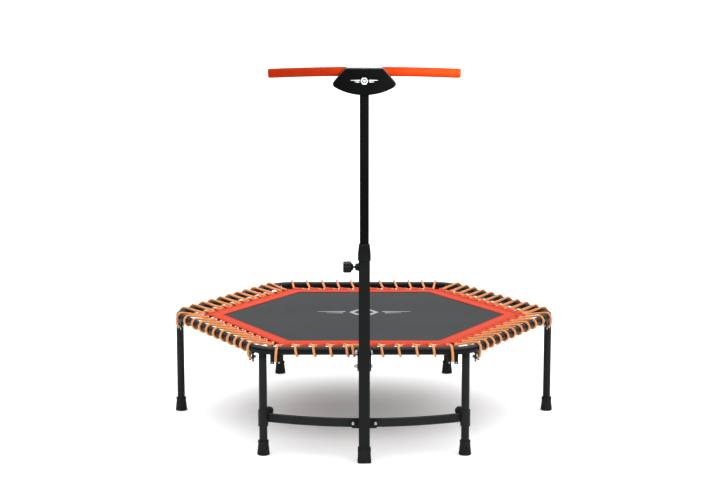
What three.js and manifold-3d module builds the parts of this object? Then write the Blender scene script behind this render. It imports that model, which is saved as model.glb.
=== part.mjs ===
// Hexagonal mini trampoline with a height-adjustable T-bar. Millimetres, +Z up.
// The handle post stands at the front (-Y). The origin is on the floor, under the middle of the box.
import * as THREE from 'three';
import { mergeVertices } from 'three/addons/utils/BufferGeometryUtils.js';
import Module from 'manifold-3d';

const wasm = await Module();
wasm.setup();

// ---- driving dimensions -------------------------------------------------------------------
const GAP = 0.3; // between pieces that touch on the real object
const ROUND = 12; // sides of a round section

const APOTHEM = 609; // hexagon centre to the tube's centreline at mid side
const FRAME_Z = 364; // height of the frame tube's centreline
const TUBE_R = 14;
const TUBE_WALL = 1.7;
const BEND_R = 110; // corner bend, on the centreline
const STUB = 33; // straight part of a corner piece, beyond its bend
const INSERT = 30; // swaged end of a side tube, inside the corner piece

const LEG_R = 13.8;
const LEG_WALL = 1.8;
const LEG_TOP_Z = 338;
const SPIGOT_R = 11.4;
const SPIGOT_LENGTH = 60;
const FOOT_R = 21.5;
const FOOT_HEIGHT = 50;
const FOOT_FLOOR = 6;

const ROPE_R = 4.2;
const ROPE_SIDES = 5;
const WRAPS = 9; // full turns of rope on each side
const WRAP_PITCH = 58.7;
const WRAP_LEAN = 6; // how far a turn leans along the tube, each way
const WRAP_R = 19.1; // rope centreline round the tube
const FRONT_MIDDLE_SHIFT = -37; // on the front side, the middle turn sits beside the post bracket
const SIDE_SHIFTS = { right_front: -17, left_front: 19 }; // loops and turns off the even pitch
const HOOK_X = WRAP_PITCH * (WRAPS + 1) / 2 + 4.5; // rope end and its hook, from mid side
const HOOK_WIDTH = 37; // two-pronged plate that holds a rope's end
const HOOK_DROP = 30; // plate below the tube
const HOOK_THICKNESS = 3;
const HOOK_OFFSET = 4; // plate's inner face, outside the tube's centreline
const HOOK_SLOT = 10;
const HOOK_LAP = 4; // plate's welded edge, up the side of the tube
const ROPE_END_RISE = 9; // rope's end above the bottom of its plate

const MAT_APOTHEM = 472;
const MAT_TOP_Z = 363.7;
const MAT_THICKNESS = 2.7;
const STRIP_INNER = 452;
const STRIP_OUTER = 518;
const STRIP_THICKNESS = 3;
const LOOP_APOTHEM = 524; // where the rope runs through the border's loops
const LOOP_LENGTH = 28;
const LOOP_HALF = 6.8; // outside half-width of a loop
const LOOP_HOLE_HALF = 5.2;
const ROPE_TURN = 19; // rope runs this far each side of a loop's middle

const POST_Y = -684; // handle post, from the hexagon's centre
const OUTER_HALF = 18.75;
const OUTER_WALL = 1.8;
const OUTER_TOP_Z = 700;
const INNER_HALF = 15;
const INNER_WALL = 1.5;
const INNER_BOTTOM_Z = 420;
const POST_CORNER_R = 4;
const POST_FOOT_HALF = 23;
const POST_FOOT_HEIGHT = 48;
const COLLAR_BOTTOM_Z = 686;
const COLLAR_TOP_Z = 740;
const COLLAR_HALF = 21.4;
const EAR_X = 44; // ends of the post's two ears
const EAR_HALF_HEIGHT = 17;
const KNOB_Z = 663;
const HEIGHT_STEP = 95; // between the five handle heights

const BAR_Z = 1304.5; // middle of the crossbar
const BAR_R = 11;
const BAR_HALF_LENGTH = 306;
const BAR_SAG = 6.5; // the bar's ends droop by this much
const GRIP_R = 15.3;
const GRIP_START = 58;
const GRIP_END = 311;
const COVER_TOP = 12; // from the bar's centreline
const COVER_BOTTOM = -76;
const COVER_FRONT = 27; // depth of each half
const COVER_BACK = 21;

const BRACE_Z = 128;
const BRACE_HEIGHT = 31;
const BRACE_DEPTH = 14;
const BRACE_Y = -655.3; // centreline at the middle of its bow
const BRACE_BOW_R = 833;
const BRACE_END_X = 321.5;
const BRACE_SCREW_X = 37;
const BRACE_SCREW_R = 3.5;
const SLEEVE_R = 17.2;
const SLEEVE_BOTTOM_Z = 100;
const SLEEVE_TOP_Z = 157;

// ---- worked out from them -----------------------------------------------------------------
const STEP = Math.PI / 3;
const VERTEX_R = APOTHEM / Math.cos(STEP / 2); // corner of the hexagon of centrelines
const BEND_CENTRE = VERTEX_R - BEND_R / Math.cos(STEP / 2);
const LEG_CENTRE = BEND_CENTRE + BEND_R; // legs stand under the corners' outermost points
const TANGENT_X = APOTHEM * Math.tan(STEP / 2) - BEND_R * Math.tan(STEP / 2);
const SIDE_HALF = TANGENT_X - STUB; // half of a side tube, without its swaged ends
const FRONT_LEG_X = LEG_CENTRE / 2;
const FRONT_LEG_Y = -LEG_CENTRE * Math.cos(STEP / 2);
const BACK_EDGE = APOTHEM + WRAP_R + ROPE_R;
const FRONT_EDGE = POST_Y - COVER_FRONT;
const HEXAGON_Y = -(BACK_EDGE + FRONT_EDGE) / 2; // puts the origin under the middle of the box

// ---- materials ----------------------------------------------------------------------------
const material = (color, roughness, metalness) =>
  new THREE.MeshStandardMaterial({ color, roughness, metalness });
const blackPaint = () => material(0x1d1d1f, 0.42, 0.3);
const blackRubber = () => material(0x131314, 0.8, 0);
const blackPlastic = () => material(0x18181a, 0.5, 0);
const zinc = () => material(0xc9ccd0, 0.32, 0.9);

// ---- shape helpers ------------------------------------------------------------------------
// A closed geometry with shared vertices, no empty triangles, and its faces pointing out.
function closed(geometry) {
  const bare = new THREE.BufferGeometry();
  bare.setAttribute('position', geometry.getAttribute('position').clone());
  if (geometry.index) bare.setIndex(geometry.index.clone());
  const merged = mergeVertices(bare, 1e-3);
  const p = merged.getAttribute('position');
  const source = merged.index.array;
  const faces = [];
  let volume = 0;
  const [a, b, c] = [new THREE.Vector3(), new THREE.Vector3(), new THREE.Vector3()];
  for (let i = 0; i < source.length; i += 3) {
    const [i0, i1, i2] = source.slice(i, i + 3);
    if (i0 === i1 || i1 === i2 || i2 === i0) continue;
    faces.push([i0, i1, i2]);
    a.fromBufferAttribute(p, i0);
    b.fromBufferAttribute(p, i1);
    c.fromBufferAttribute(p, i2);
    volume += a.dot(b.cross(c));
  }
  merged.setIndex(faces.flatMap(([i0, i1, i2]) => (volume < 0 ? [i0, i2, i1] : [i0, i1, i2])));
  return merged;
}

function solid(geometry) {
  const g = closed(geometry);
  return new wasm.Manifold(new wasm.Mesh({
    numProp: 3,
    vertProperties: new Float32Array(g.getAttribute('position').array),
    triVerts: new Uint32Array(g.index.array),
  }));
}

function fromSolid(body) {
  const mesh = body.getMesh();
  const geometry = new THREE.BufferGeometry();
  geometry.setAttribute('position', new THREE.BufferAttribute(mesh.vertProperties, 3));
  geometry.setIndex(new THREE.BufferAttribute(mesh.triVerts, 1));
  return geometry;
}

const joined = (first, ...others) => others.reduce((sum, next) => sum.add(next), first);
const cut = (first, ...others) => others.reduce((sum, next) => sum.subtract(next), first);

// A path whose stations are exactly the points given.
class Stations extends THREE.Curve {
  constructor(points) {
    super();
    this.points = points.map((p) => new THREE.Vector3(...p));
  }

  getPoint(t) {
    const last = this.points.length - 1;
    const i = Math.min(Math.floor(t * last + 1e-9), last - 1);
    return this.points[i].clone().lerp(this.points[i + 1], t * last - i);
  }

  getPointAt(u) {
    return this.getPoint(u);
  }

  getTangentAt(u) {
    const last = this.points.length - 1;
    const i = Math.round(u * last);
    const before = this.points[Math.max(i - 1, 0)];
    const here = this.points[i];
    const after = this.points[Math.min(i + 1, last)];
    const arriving = here.clone().sub(before).normalize();
    const leaving = after.clone().sub(here).normalize();
    return arriving.add(leaving).normalize();
  }
}

const roundSection = (radius, sides) => new THREE.Shape(
  Array.from({ length: sides }, (_, i) => {
    const angle = 2 * Math.PI * i / sides;
    return new THREE.Vector2(radius * Math.cos(angle), radius * Math.sin(angle));
  }),
);

function sweep(section, points) {
  return new THREE.ExtrudeGeometry(section, {
    steps: points.length - 1,
    extrudePath: new Stations(points),
    curveSegments: 2,
  });
}

const tubeAlong = (radius, points, sides = ROUND) => sweep(roundSection(radius, sides), points);

// Turned about Z: [radius, height] pairs, closed on the axis or on themselves.
const turned = (profile, sides = ROUND) =>
  new THREE.LatheGeometry(profile.map(([r, z]) => new THREE.Vector2(r, z)), sides)
    .rotateX(Math.PI / 2);

// A square section turned on four sides: half-widths in place of radii.
const turnedSquare = (profile) =>
  turned(profile.map(([half, z]) => [half * Math.SQRT2, z]), 4).rotateZ(Math.PI / 4);

const ring = (outer, inner, low, high) =>
  turned([[inner, low], [outer, low], [outer, high], [inner, high], [inner, low]]);

const rod = (radius, low, high, sides = ROUND) =>
  turned([[0, low], [radius, low], [radius, high], [0, high]], sides);

const alongX = (geometry) => geometry.rotateY(Math.PI / 2);
const alongY = (geometry) => geometry.rotateX(-Math.PI / 2);

function box([x0, y0, z0], [x1, y1, z1]) {
  return new THREE.BoxGeometry(x1 - x0, y1 - y0, z1 - z0)
    .translate((x0 + x1) / 2, (y0 + y1) / 2, (z0 + z1) / 2);
}

function roundedSquare(half, radius) {
  const s = new THREE.Shape();
  const flat = half - radius;
  s.absarc(flat, flat, radius, 0, Math.PI / 2);
  s.absarc(-flat, flat, radius, Math.PI / 2, Math.PI);
  s.absarc(-flat, -flat, radius, Math.PI, 1.5 * Math.PI);
  s.absarc(flat, -flat, radius, 1.5 * Math.PI, 2 * Math.PI);
  s.closePath();
  return s;
}

function squareTube(half, wall, low, high) {
  const section = roundedSquare(half, POST_CORNER_R);
  section.holes.push(roundedSquare(half - wall, POST_CORNER_R - wall));
  const options = { depth: high - low, bevelEnabled: false, curveSegments: 2 };
  return new THREE.ExtrudeGeometry(section, options).translate(0, 0, low);
}

// ---- assembly -----------------------------------------------------------------------------
const trampoline = new THREE.Group();
const assembly = new THREE.Group();
assembly.position.set(0, HEXAGON_Y, 0);
trampoline.add(assembly);

function piece(parent, name, shape, finish) {
  const geometry = shape instanceof THREE.BufferGeometry ? closed(shape) : fromSolid(shape);
  const mesh = new THREE.Mesh(geometry, finish);
  mesh.name = name;
  parent.add(mesh);
  return mesh;
}

function turnedGroup(angle) {
  const group = new THREE.Group();
  group.rotation.z = angle;
  assembly.add(group);
  return group;
}

// ---- corners, legs and feet: each in a frame whose -Y axis runs out to the corner ----------
const CORNERS = ['front_right', 'right', 'back_right', 'back_left', 'left', 'front_left'];

// The corner's centreline, its stubs made longer by extra.
function cornerPath(extra) {
  const bendSteps = 4;
  const points = [];
  const stub = STUB + extra;
  const along = (side, distance) => {
    const angle = side * STEP / 2;
    const x = BEND_R * Math.sin(angle) + distance * Math.cos(angle) * side;
    const y = -BEND_CENTRE - BEND_R * Math.cos(angle) + distance * Math.sin(STEP / 2);
    return [x, y, FRAME_Z];
  };
  points.push(along(-1, stub));
  for (let i = 0; i <= bendSteps; i += 1) {
    const angle = STEP * (i / bendSteps - 0.5);
    points.push([BEND_R * Math.sin(angle), -BEND_CENTRE - BEND_R * Math.cos(angle), FRAME_Z]);
  }
  points.push(along(1, stub));
  return points;
}

// The two-pronged plate under the tube, at the end of the side that lies to one side of a corner.
function ropeHook(side) {
  const x = -side * HOOK_X;
  const inner = -(APOTHEM + HOOK_OFFSET);
  const outer = inner - HOOK_THICKNESS;
  const top = FRAME_Z - TUBE_R + HOOK_LAP;
  const bottom = FRAME_Z - TUBE_R - HOOK_DROP;
  const plate = box([x - HOOK_WIDTH / 2, outer, bottom], [x + HOOK_WIDTH / 2, inner, top]);
  const slot = box([x - HOOK_SLOT / 2, outer - 1, bottom - 1],
    [x + HOOK_SLOT / 2, inner + 1, bottom + HOOK_DROP * 0.7]);
  return cut(solid(plate.rotateZ(side * STEP / 2)), solid(slot.rotateZ(side * STEP / 2)));
}

function frameCorner() {
  const bend = solid(tubeAlong(TUBE_R, cornerPath(0)));
  const bore = solid(tubeAlong(TUBE_R - TUBE_WALL, cornerPath(1)));
  const socket = solid(rod(LEG_R, LEG_TOP_Z, FRAME_Z - 2).translate(0, -LEG_CENTRE, 0));
  const spigot = solid(rod(SPIGOT_R, LEG_TOP_Z - SPIGOT_LENGTH, LEG_TOP_Z + 1)
    .translate(0, -LEG_CENTRE, 0));
  return cut(joined(bend, socket, spigot, ropeHook(-1), ropeHook(1)), bore);
}

function leg() {
  return ring(LEG_R, LEG_R - LEG_WALL, FOOT_FLOOR + GAP, LEG_TOP_Z - GAP)
    .translate(0, -LEG_CENTRE, 0);
}

// Flared foot with a lip round its top.
function legFoot() {
  const pocket = LEG_R + GAP + 0.2;
  const neck = pocket + 3.7;
  return turned([
    [0, 0], [FOOT_R - 1, 0], [FOOT_R, 3], [FOOT_R - 1.6, 16],
    [neck, FOOT_HEIGHT - 9], [neck + 0.6, FOOT_HEIGHT - 7], [neck, FOOT_HEIGHT],
    [pocket, FOOT_HEIGHT], [pocket, FOOT_FLOOR], [0, FOOT_FLOOR],
  ]).translate(0, -LEG_CENTRE, 0);
}

CORNERS.forEach((name, i) => {
  const group = turnedGroup(STEP * (i + 0.5));
  piece(group, `frame_corner_${name}`, frameCorner(), blackPaint());
  piece(group, `leg_${name}`, leg(), blackPaint());
  piece(group, `foot_${name}`, legFoot(), blackRubber());
});

// ---- sides: each in a frame whose -Y axis runs out to the middle of the side ---------------
const SIDES = ['front', 'right_front', 'right_back', 'back', 'left_back', 'left_front'];

function frameSide() {
  const outer = TUBE_R;
  const insert = TUBE_R - TUBE_WALL - GAP - 0.3;
  const bore = insert - 1.5;
  const half = SIDE_HALF - GAP;
  const end = half + INSERT;
  return alongX(turned([
    [bore, -end], [insert, -end], [insert, -half], [outer, -half],
    [outer, half], [insert, half], [insert, end], [bore, end], [bore, -end],
  ])).translate(0, -APOTHEM, FRAME_Z);
}

// Middles of the border's loops. Where a side's loops are shifted, those near its ends give way less.
function loopPlaces(shift) {
  return Array.from({ length: WRAPS + 1 }, (_, i) => {
    const fromMiddle = 2 * i / WRAPS - 1;
    return WRAPS / 2 * fromMiddle * WRAP_PITCH + shift * (1 - fromMiddle ** 4);
  });
}

// One flat strip of webbing, mitred at its ends, with loops along its outer edge.
function borderStrip(shift) {
  const slope = Math.tan(STEP / 2);
  const half = (distance) => distance * slope - GAP;
  const outline = new THREE.Shape([
    new THREE.Vector2(-half(STRIP_INNER), -STRIP_INNER),
    new THREE.Vector2(-half(STRIP_OUTER), -STRIP_OUTER),
    new THREE.Vector2(half(STRIP_OUTER), -STRIP_OUTER),
    new THREE.Vector2(half(STRIP_INNER), -STRIP_INNER),
  ]);
  const strip = new THREE.ExtrudeGeometry(outline, { depth: STRIP_THICKNESS, bevelEnabled: false })
    .translate(0, 0, MAT_TOP_Z + GAP);
  const tabs = loopPlaces(shift).map((x) => solid(box(
    [x - LOOP_LENGTH / 2, -LOOP_APOTHEM - LOOP_HALF, FRAME_Z - LOOP_HALF],
    [x + LOOP_LENGTH / 2, -LOOP_APOTHEM + LOOP_HALF, FRAME_Z + LOOP_HALF],
  )));
  const tunnel = box(
    [-HOOK_X, -LOOP_APOTHEM - LOOP_HOLE_HALF, FRAME_Z - LOOP_HOLE_HALF],
    [HOOK_X, -LOOP_APOTHEM + LOOP_HOLE_HALF, FRAME_Z + LOOP_HOLE_HALF],
  );
  return cut(joined(solid(strip), ...tabs), solid(tunnel));
}

// The rope's route along one side: hook, over the tube, through a loop, round the tube, and on.
function ropePath(shift, middleShift) {
  const points = [];
  const add = (x, outward, up) => points.push([x, -outward, FRAME_Z + up]);
  const round = (x, angle) =>
    add(x, APOTHEM + WRAP_R * Math.cos(angle), WRAP_R * Math.sin(angle));
  const hookZ = -TUBE_R - HOOK_DROP + ROPE_END_RISE;
  const hookY = APOTHEM + HOOK_OFFSET + HOOK_THICKNESS / 2;

  // From behind a hook plate up to the top of the tube. End 1 is walked the other way.
  const ending = (end) => {
    const steps = [
      () => add(end * HOOK_X, hookY - 12, hookZ),
      () => add(end * HOOK_X, hookY + 7, hookZ),
      () => add(end * (HOOK_X - 1), APOTHEM + WRAP_R, -WRAP_R),
      ...[0, 1, 2, 3].map((step) => () =>
        round(end * (HOOK_X - 3 - 1.5 * step), step * Math.PI / 6)),
    ];
    return end < 0 ? steps : steps.reverse();
  };

  ending(-1).forEach((step) => step());
  const places = loopPlaces(shift);
  places.forEach((loop, i) => {
    add(loop - ROPE_TURN, LOOP_APOTHEM, 0);
    add(loop + ROPE_TURN, LOOP_APOTHEM, 0);
    if (i === WRAPS) return;
    const turn = (loop + places[i + 1]) / 2 + (i === (WRAPS - 1) / 2 ? middleShift : 0);
    for (let step = 3; step >= -3; step -= 1) {
      round(turn - WRAP_LEAN * step / 3, step * Math.PI / 6);
    }
  });
  ending(1).forEach((step) => step());
  return points;
}

SIDES.forEach((name, i) => {
  const group = turnedGroup(STEP * i);
  const shift = SIDE_SHIFTS[name] ?? 0;
  const route = ropePath(shift, name === 'front' ? FRONT_MIDDLE_SHIFT : 0);
  piece(group, `frame_side_${name}`, frameSide(), blackPaint());
  piece(group, `border_${name}`, borderStrip(shift), material(0xe4573c, 0.75, 0));
  piece(group, `bungee_${name}`, tubeAlong(ROPE_R, route, ROPE_SIDES), material(0xf98b47, 0.7, 0));
});

// ---- mat ----------------------------------------------------------------------------------
function mat() {
  const radius = MAT_APOTHEM / Math.cos(STEP / 2);
  const options = { depth: MAT_THICKNESS, bevelEnabled: false };
  return new THREE.ExtrudeGeometry(roundSection(radius, 6), options)
    .translate(0, 0, MAT_TOP_Z - MAT_THICKNESS);
}
piece(assembly, 'mat', mat(), material(0x55565a, 0.85, 0));

// ---- handle post: in a frame on the post's own axis ----------------------------------------
const post = new THREE.Group();
post.position.set(0, POST_Y, 0);
assembly.add(post);

const LUG_BACK = 44; // back of the lug that the frame bracket holds, from the post's axis
const LUG_LOW = 307;
const LUG_HIGH = 379;
const BOLT_Y = 34;
const BOLT_HEIGHTS = [321, 368];
const BOLT_R = 4;
const CHEEK = 4;
const EAR_THICKNESS = 2.6;
const PIN_R = 4;

const boltHoles = () => BOLT_HEIGHTS.map((z) =>
  solid(alongX(rod(BOLT_R + GAP, -30, 30)).translate(0, BOLT_Y, z)));

// Square tube with a lug for the frame bracket and two ears for the brace, and holes for bolts and pin.
function outerPost() {
  const bore = OUTER_HALF - OUTER_WALL;
  const near = bore + 0.4; // front of what is welded to the tube's back wall
  const tube = solid(squareTube(OUTER_HALF, OUTER_WALL, FOOT_FLOOR + GAP, OUTER_TOP_Z));
  const lug = solid(box([-OUTER_HALF, near, LUG_LOW + 4], [OUTER_HALF, LUG_BACK, LUG_HIGH - 4]));
  const ears = solid(box(
    [-EAR_X, near, BRACE_Z - EAR_HALF_HEIGHT],
    [EAR_X, OUTER_HALF + EAR_THICKNESS, BRACE_Z + EAR_HALF_HEIGHT],
  ));
  const screwHoles = [-1, 1].map((side) =>
    solid(alongY(rod(BRACE_SCREW_R + GAP, 0, 60)).translate(side * BRACE_SCREW_X, 0, BRACE_Z)));
  const pinHole = solid(alongX(rod(PIN_R + GAP, -30, 0)).translate(0, 0, KNOB_Z));
  return cut(joined(tube, lug, ears), ...boltHoles(), ...screwHoles, pinHole);
}

function postFoot() {
  const pocket = OUTER_HALF + GAP;
  const top = POST_FOOT_HALF - 1.4; // half-width under the top edge
  return turnedSquare([
    [0, 0], [POST_FOOT_HALF, 0], [POST_FOOT_HALF, 6], [top, POST_FOOT_HEIGHT - 4],
    [top - 0.6, POST_FOOT_HEIGHT], [pocket, POST_FOOT_HEIGHT], [pocket, FOOT_FLOOR], [0, FOOT_FLOOR],
  ]);
}

// Plastic collar on top of the outer tube, guiding the inner one.
function postCollar() {
  const pocket = OUTER_HALF + GAP;
  const bore = INNER_HALF + GAP;
  const ledge = OUTER_TOP_Z + GAP;
  return turnedSquare([
    [pocket, COLLAR_BOTTOM_Z], [COLLAR_HALF - 0.6, COLLAR_BOTTOM_Z], [COLLAR_HALF, COLLAR_BOTTOM_Z + 12],
    [COLLAR_HALF - 0.4, COLLAR_BOTTOM_Z + 22], [bore + 2.3, COLLAR_TOP_Z - 4], [bore + 1.5, COLLAR_TOP_Z],
    [bore, COLLAR_TOP_Z], [bore, ledge], [pocket, ledge], [pocket, COLLAR_BOTTOM_Z],
  ]);
}

// Square tube with five holes for the locking pin, one for each handle height.
function innerPost() {
  const holes = [-2, -1, 0, 1, 2].map((step) =>
    solid(alongX(rod(PIN_R + 0.5, -30, 0)).translate(0, 0, KNOB_Z + step * HEIGHT_STEP)));
  const top = BAR_Z - BAR_R - 2 * GAP;
  return cut(solid(squareTube(INNER_HALF, INNER_WALL, INNER_BOTTOM_Z, top)), ...holes);
}

piece(post, 'outer_post', outerPost(), blackPaint());
piece(post, 'post_foot', postFoot(), blackRubber());
piece(post, 'post_collar', postCollar(), blackPlastic());
piece(post, 'inner_post', innerPost(), blackPaint());

// ---- locking pin and knob, on the post's -X side --------------------------------------------
const lock = new THREE.Group();
lock.position.set(0, 0, KNOB_Z);
post.add(lock);

const BOSS_R = 12.2;
const BOSS_END = 30.6; // outer face of the threaded boss, from the post's axis
const KNOB_NEAR = 36;
const KNOB_FAR = 70;
const KNOB_HEAD = 25; // length of the lobed part
const KNOB_LOBES = 8;
const KNOB_R = 19.4;
const KNOB_VALLEY_R = 17.6;
const KNOB_SHOULDER_R = 14;
const KNOB_NECK_R = 9;
const PIN_TIP = INNER_HALF + 0.6;
const PIN_HEAD = 60;

function lockBoss() {
  const bore = PIN_R + GAP;
  const wall = -OUTER_HALF - GAP;
  return alongX(turned([
    [bore, -BOSS_END], [BOSS_R - 3, -BOSS_END], [BOSS_R, -BOSS_END + 3], [BOSS_R, wall],
    [bore, wall], [bore, -BOSS_END],
  ]));
}

// Lobed plastic head, bored for the pin.
function lockKnob() {
  const outline = new THREE.Shape(Array.from({ length: KNOB_LOBES * 3 }, (_, i) => {
    const angle = 2 * Math.PI * i / (KNOB_LOBES * 3);
    const radius = i % 3 === 0 ? KNOB_VALLEY_R : KNOB_R;
    return new THREE.Vector2(radius * Math.cos(angle), radius * Math.sin(angle));
  }));
  const head = new THREE.ExtrudeGeometry(outline, { depth: KNOB_HEAD, bevelEnabled: false })
    .translate(0, 0, -KNOB_FAR);
  const back = -KNOB_FAR + KNOB_HEAD - 1;
  const shoulder = turned([
    [0, back], [KNOB_SHOULDER_R, back], [KNOB_NECK_R, -KNOB_NEAR], [0, -KNOB_NEAR],
  ]);
  const bore = rod(PIN_R + GAP, -PIN_HEAD - GAP, 0);
  return cut(joined(solid(alongX(head)), solid(alongX(shoulder))), solid(alongX(bore)));
}

piece(lock, 'lock_boss', lockBoss(), blackPaint());
piece(lock, 'lock_pin', alongX(rod(PIN_R, -PIN_HEAD, -PIN_TIP)), zinc());
piece(lock, 'lock_knob', lockKnob(), blackPlastic());

// ---- T-bar ----------------------------------------------------------------------------------
const handle = new THREE.Group();
handle.position.set(0, 0, BAR_Z);
post.add(handle);

// Points along the drooping bar, from one X to another.
function barPath(from, to, steps) {
  return Array.from({ length: steps + 1 }, (_, i) => {
    const x = from + (to - from) * i / steps;
    return [x, 0, -BAR_SAG * (x / GRIP_END) ** 2];
  });
}

function crossbar() {
  const outside = solid(tubeAlong(BAR_R, barPath(-BAR_HALF_LENGTH, BAR_HALF_LENGTH, 8)));
  const inside = solid(tubeAlong(BAR_R - 1.5, barPath(-BAR_HALF_LENGTH - 2, BAR_HALF_LENGTH + 2, 8)));
  return cut(outside, inside);
}

function grip(side) {
  const foam = barPath(side * GRIP_START, side * GRIP_END, 5);
  const bore = barPath(side * (GRIP_START - 20), side * (BAR_HALF_LENGTH + 1), 5);
  return cut(solid(tubeAlong(GRIP_R, foam)), solid(tubeAlong(BAR_R + 0.5, bore)));
}

// Outline of the centre cover, seen from the front: flat top, slanting sides, curved bottom.
function coverOutline() {
  const flat = 56; // half of the flat top
  const shoulder = [64, COVER_TOP - 4];
  const hip = [98, -31];
  const chin = [96, -50];
  const s = new THREE.Shape();
  s.moveTo(-flat, COVER_TOP);
  s.lineTo(flat, COVER_TOP);
  s.quadraticCurveTo(flat + 5, COVER_TOP, ...shoulder);
  s.lineTo(...hip);
  s.quadraticCurveTo(107, -42, ...chin);
  s.quadraticCurveTo(55, COVER_BOTTOM + 1, 0, COVER_BOTTOM);
  s.quadraticCurveTo(-55, COVER_BOTTOM + 1, -chin[0], chin[1]);
  s.quadraticCurveTo(-107, -42, -hip[0], hip[1]);
  s.lineTo(-shoulder[0], shoulder[1]);
  s.quadraticCurveTo(-flat - 5, COVER_TOP, -flat, COVER_TOP);
  return s;
}

// One half of the cover, between the parting plane and a depth in front of or behind the bar.
function coverHalf(side, depth) {
  const options = { depth: depth - GAP / 2, bevelEnabled: false, curveSegments: 5 };
  const shell = new THREE.ExtrudeGeometry(coverOutline(), options)
    .rotateX(Math.PI / 2)
    .translate(0, -GAP / 2, 0);
  if (side > 0) shell.rotateZ(Math.PI);
  const barRoom = solid(tubeAlong(BAR_R + GAP, barPath(-70, 70, 2)));
  const gripRoom = [-1, 1].map((end) =>
    solid(tubeAlong(GRIP_R + 0.6, barPath(end * (GRIP_START - 2), end * 120, 2))));
  const postHalf = INNER_HALF + GAP;
  const postRoom = solid(box([-postHalf, -postHalf, -90], [postHalf, postHalf, 0]));
  return cut(solid(shell), barRoom, ...gripRoom, postRoom);
}

piece(handle, 'crossbar', crossbar(), blackPaint());
piece(handle, 'grip_left', grip(-1), material(0xe0460c, 0.8, 0));
piece(handle, 'grip_right', grip(1), material(0xe0460c, 0.8, 0));
piece(handle, 'cover_front', coverHalf(-1, COVER_FRONT), blackPlastic());
piece(handle, 'cover_back', coverHalf(1, COVER_BACK), blackPlastic());

// ---- bracket and bolts that tie the post to the front tube ----------------------------------
const TUBE_FROM_POST = -APOTHEM - POST_Y;
const CHEEK_INNER = OUTER_HALF + 0.5;
const CHEEK_OUTER = CHEEK_INNER + CHEEK;

function postBracket() {
  const cheeks = [-1, 1].map((side) => {
    const [x0, x1] = side < 0 ? [-CHEEK_OUTER, -CHEEK_INNER] : [CHEEK_INNER, CHEEK_OUTER];
    return solid(box([x0, 9, LUG_LOW], [x1, TUBE_FROM_POST, LUG_HIGH]));
  });
  const webFront = LUG_BACK + 3;
  const web = solid(box(
    [-CHEEK_OUTER, webFront, LUG_LOW],
    [CHEEK_OUTER, webFront + CHEEK, LUG_HIGH],
  ));
  const tube = solid(alongX(rod(TUBE_R + GAP + 0.3, -50, 50)).translate(0, TUBE_FROM_POST, FRAME_Z));
  return cut(joined(web, ...cheeks), tube, ...boltHoles());
}

// Bolt through both cheeks, with its nut at the -X end.
function bracketBolt(z) {
  const face = CHEEK_OUTER + GAP;
  const nutEnd = -face - 6.5;
  return alongX(turned([
    [0, -35], [BOLT_R, -35], [BOLT_R, nutEnd], [7.4, nutEnd], [7.4, -face], [BOLT_R, -face],
    [BOLT_R, face], [7, face], [6.4, face + 4.5], [0, face + 5.5],
  ])).translate(0, BOLT_Y, z);
}

piece(post, 'post_bracket', postBracket(), blackPaint());
piece(post, 'bracket_bolt_lower', bracketBolt(BOLT_HEIGHTS[0]), zinc());
piece(post, 'bracket_bolt_upper', bracketBolt(BOLT_HEIGHTS[1]), zinc());

// ---- brace between the front legs: bowed forward to meet the post ---------------------------
const BRACE_CENTRE_Y = BRACE_Y + BRACE_BOW_R;

function bracePath(halfAngle, steps) {
  return Array.from({ length: steps + 1 }, (_, i) => {
    const angle = halfAngle * (2 * i / steps - 1);
    return [BRACE_BOW_R * Math.sin(angle), BRACE_CENTRE_Y - BRACE_BOW_R * Math.cos(angle), BRACE_Z];
  });
}

function flatOval(height, depth) {
  const s = new THREE.Shape();
  const radius = depth / 2 - 1;
  const [h, d] = [height / 2 - radius, depth / 2 - radius];
  s.absarc(h, d, radius, 0, Math.PI / 2);
  s.absarc(-h, d, radius, Math.PI / 2, Math.PI);
  s.absarc(-h, -d, radius, Math.PI, 1.5 * Math.PI);
  s.absarc(h, -d, radius, 1.5 * Math.PI, 2 * Math.PI);
  s.closePath();
  return s;
}

function brace() {
  const halfAngle = Math.asin(BRACE_END_X / BRACE_BOW_R);
  const outside = solid(sweep(flatOval(BRACE_HEIGHT, BRACE_DEPTH), bracePath(halfAngle, 8)));
  const room = flatOval(BRACE_HEIGHT - 3, BRACE_DEPTH - 3);
  const bore = solid(sweep(room, bracePath(halfAngle + 0.01, 8)));
  const holes = [-1, 1].map((side) => solid(alongY(rod(BRACE_SCREW_R + GAP, -30, 30))
    .translate(side * BRACE_SCREW_X, BRACE_Y, BRACE_Z)));
  return cut(outside, bore, ...holes);
}

// Screw from inside an ear through the brace, with its nut behind.
function braceScrew(side) {
  const head = POST_Y + OUTER_HALF - OUTER_WALL + 0.4 - GAP;
  const nut = BRACE_Y + BRACE_DEPTH / 2 + 3;
  return alongY(turned([
    [0, head - 4.5], [5, head - 4], [6.2, head - 1.5], [6.2, head], [BRACE_SCREW_R, head],
    [BRACE_SCREW_R, nut], [6, nut], [6, nut + 5], [BRACE_SCREW_R, nut + 5],
    [BRACE_SCREW_R, nut + 7], [0, nut + 7],
  ])).translate(side * BRACE_SCREW_X, 0, BRACE_Z);
}

const LUG_X = 19; // clamp screw, inboard of the leg's axis
const LUG_NEAR = 10.4;
const LUG_FAR = 16.4;
const SLEEVE_KNOB_Z = 146;
const SLEEVE_KNOB_R = 15;
const SLEEVE_SCREW_R = 4;

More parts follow.
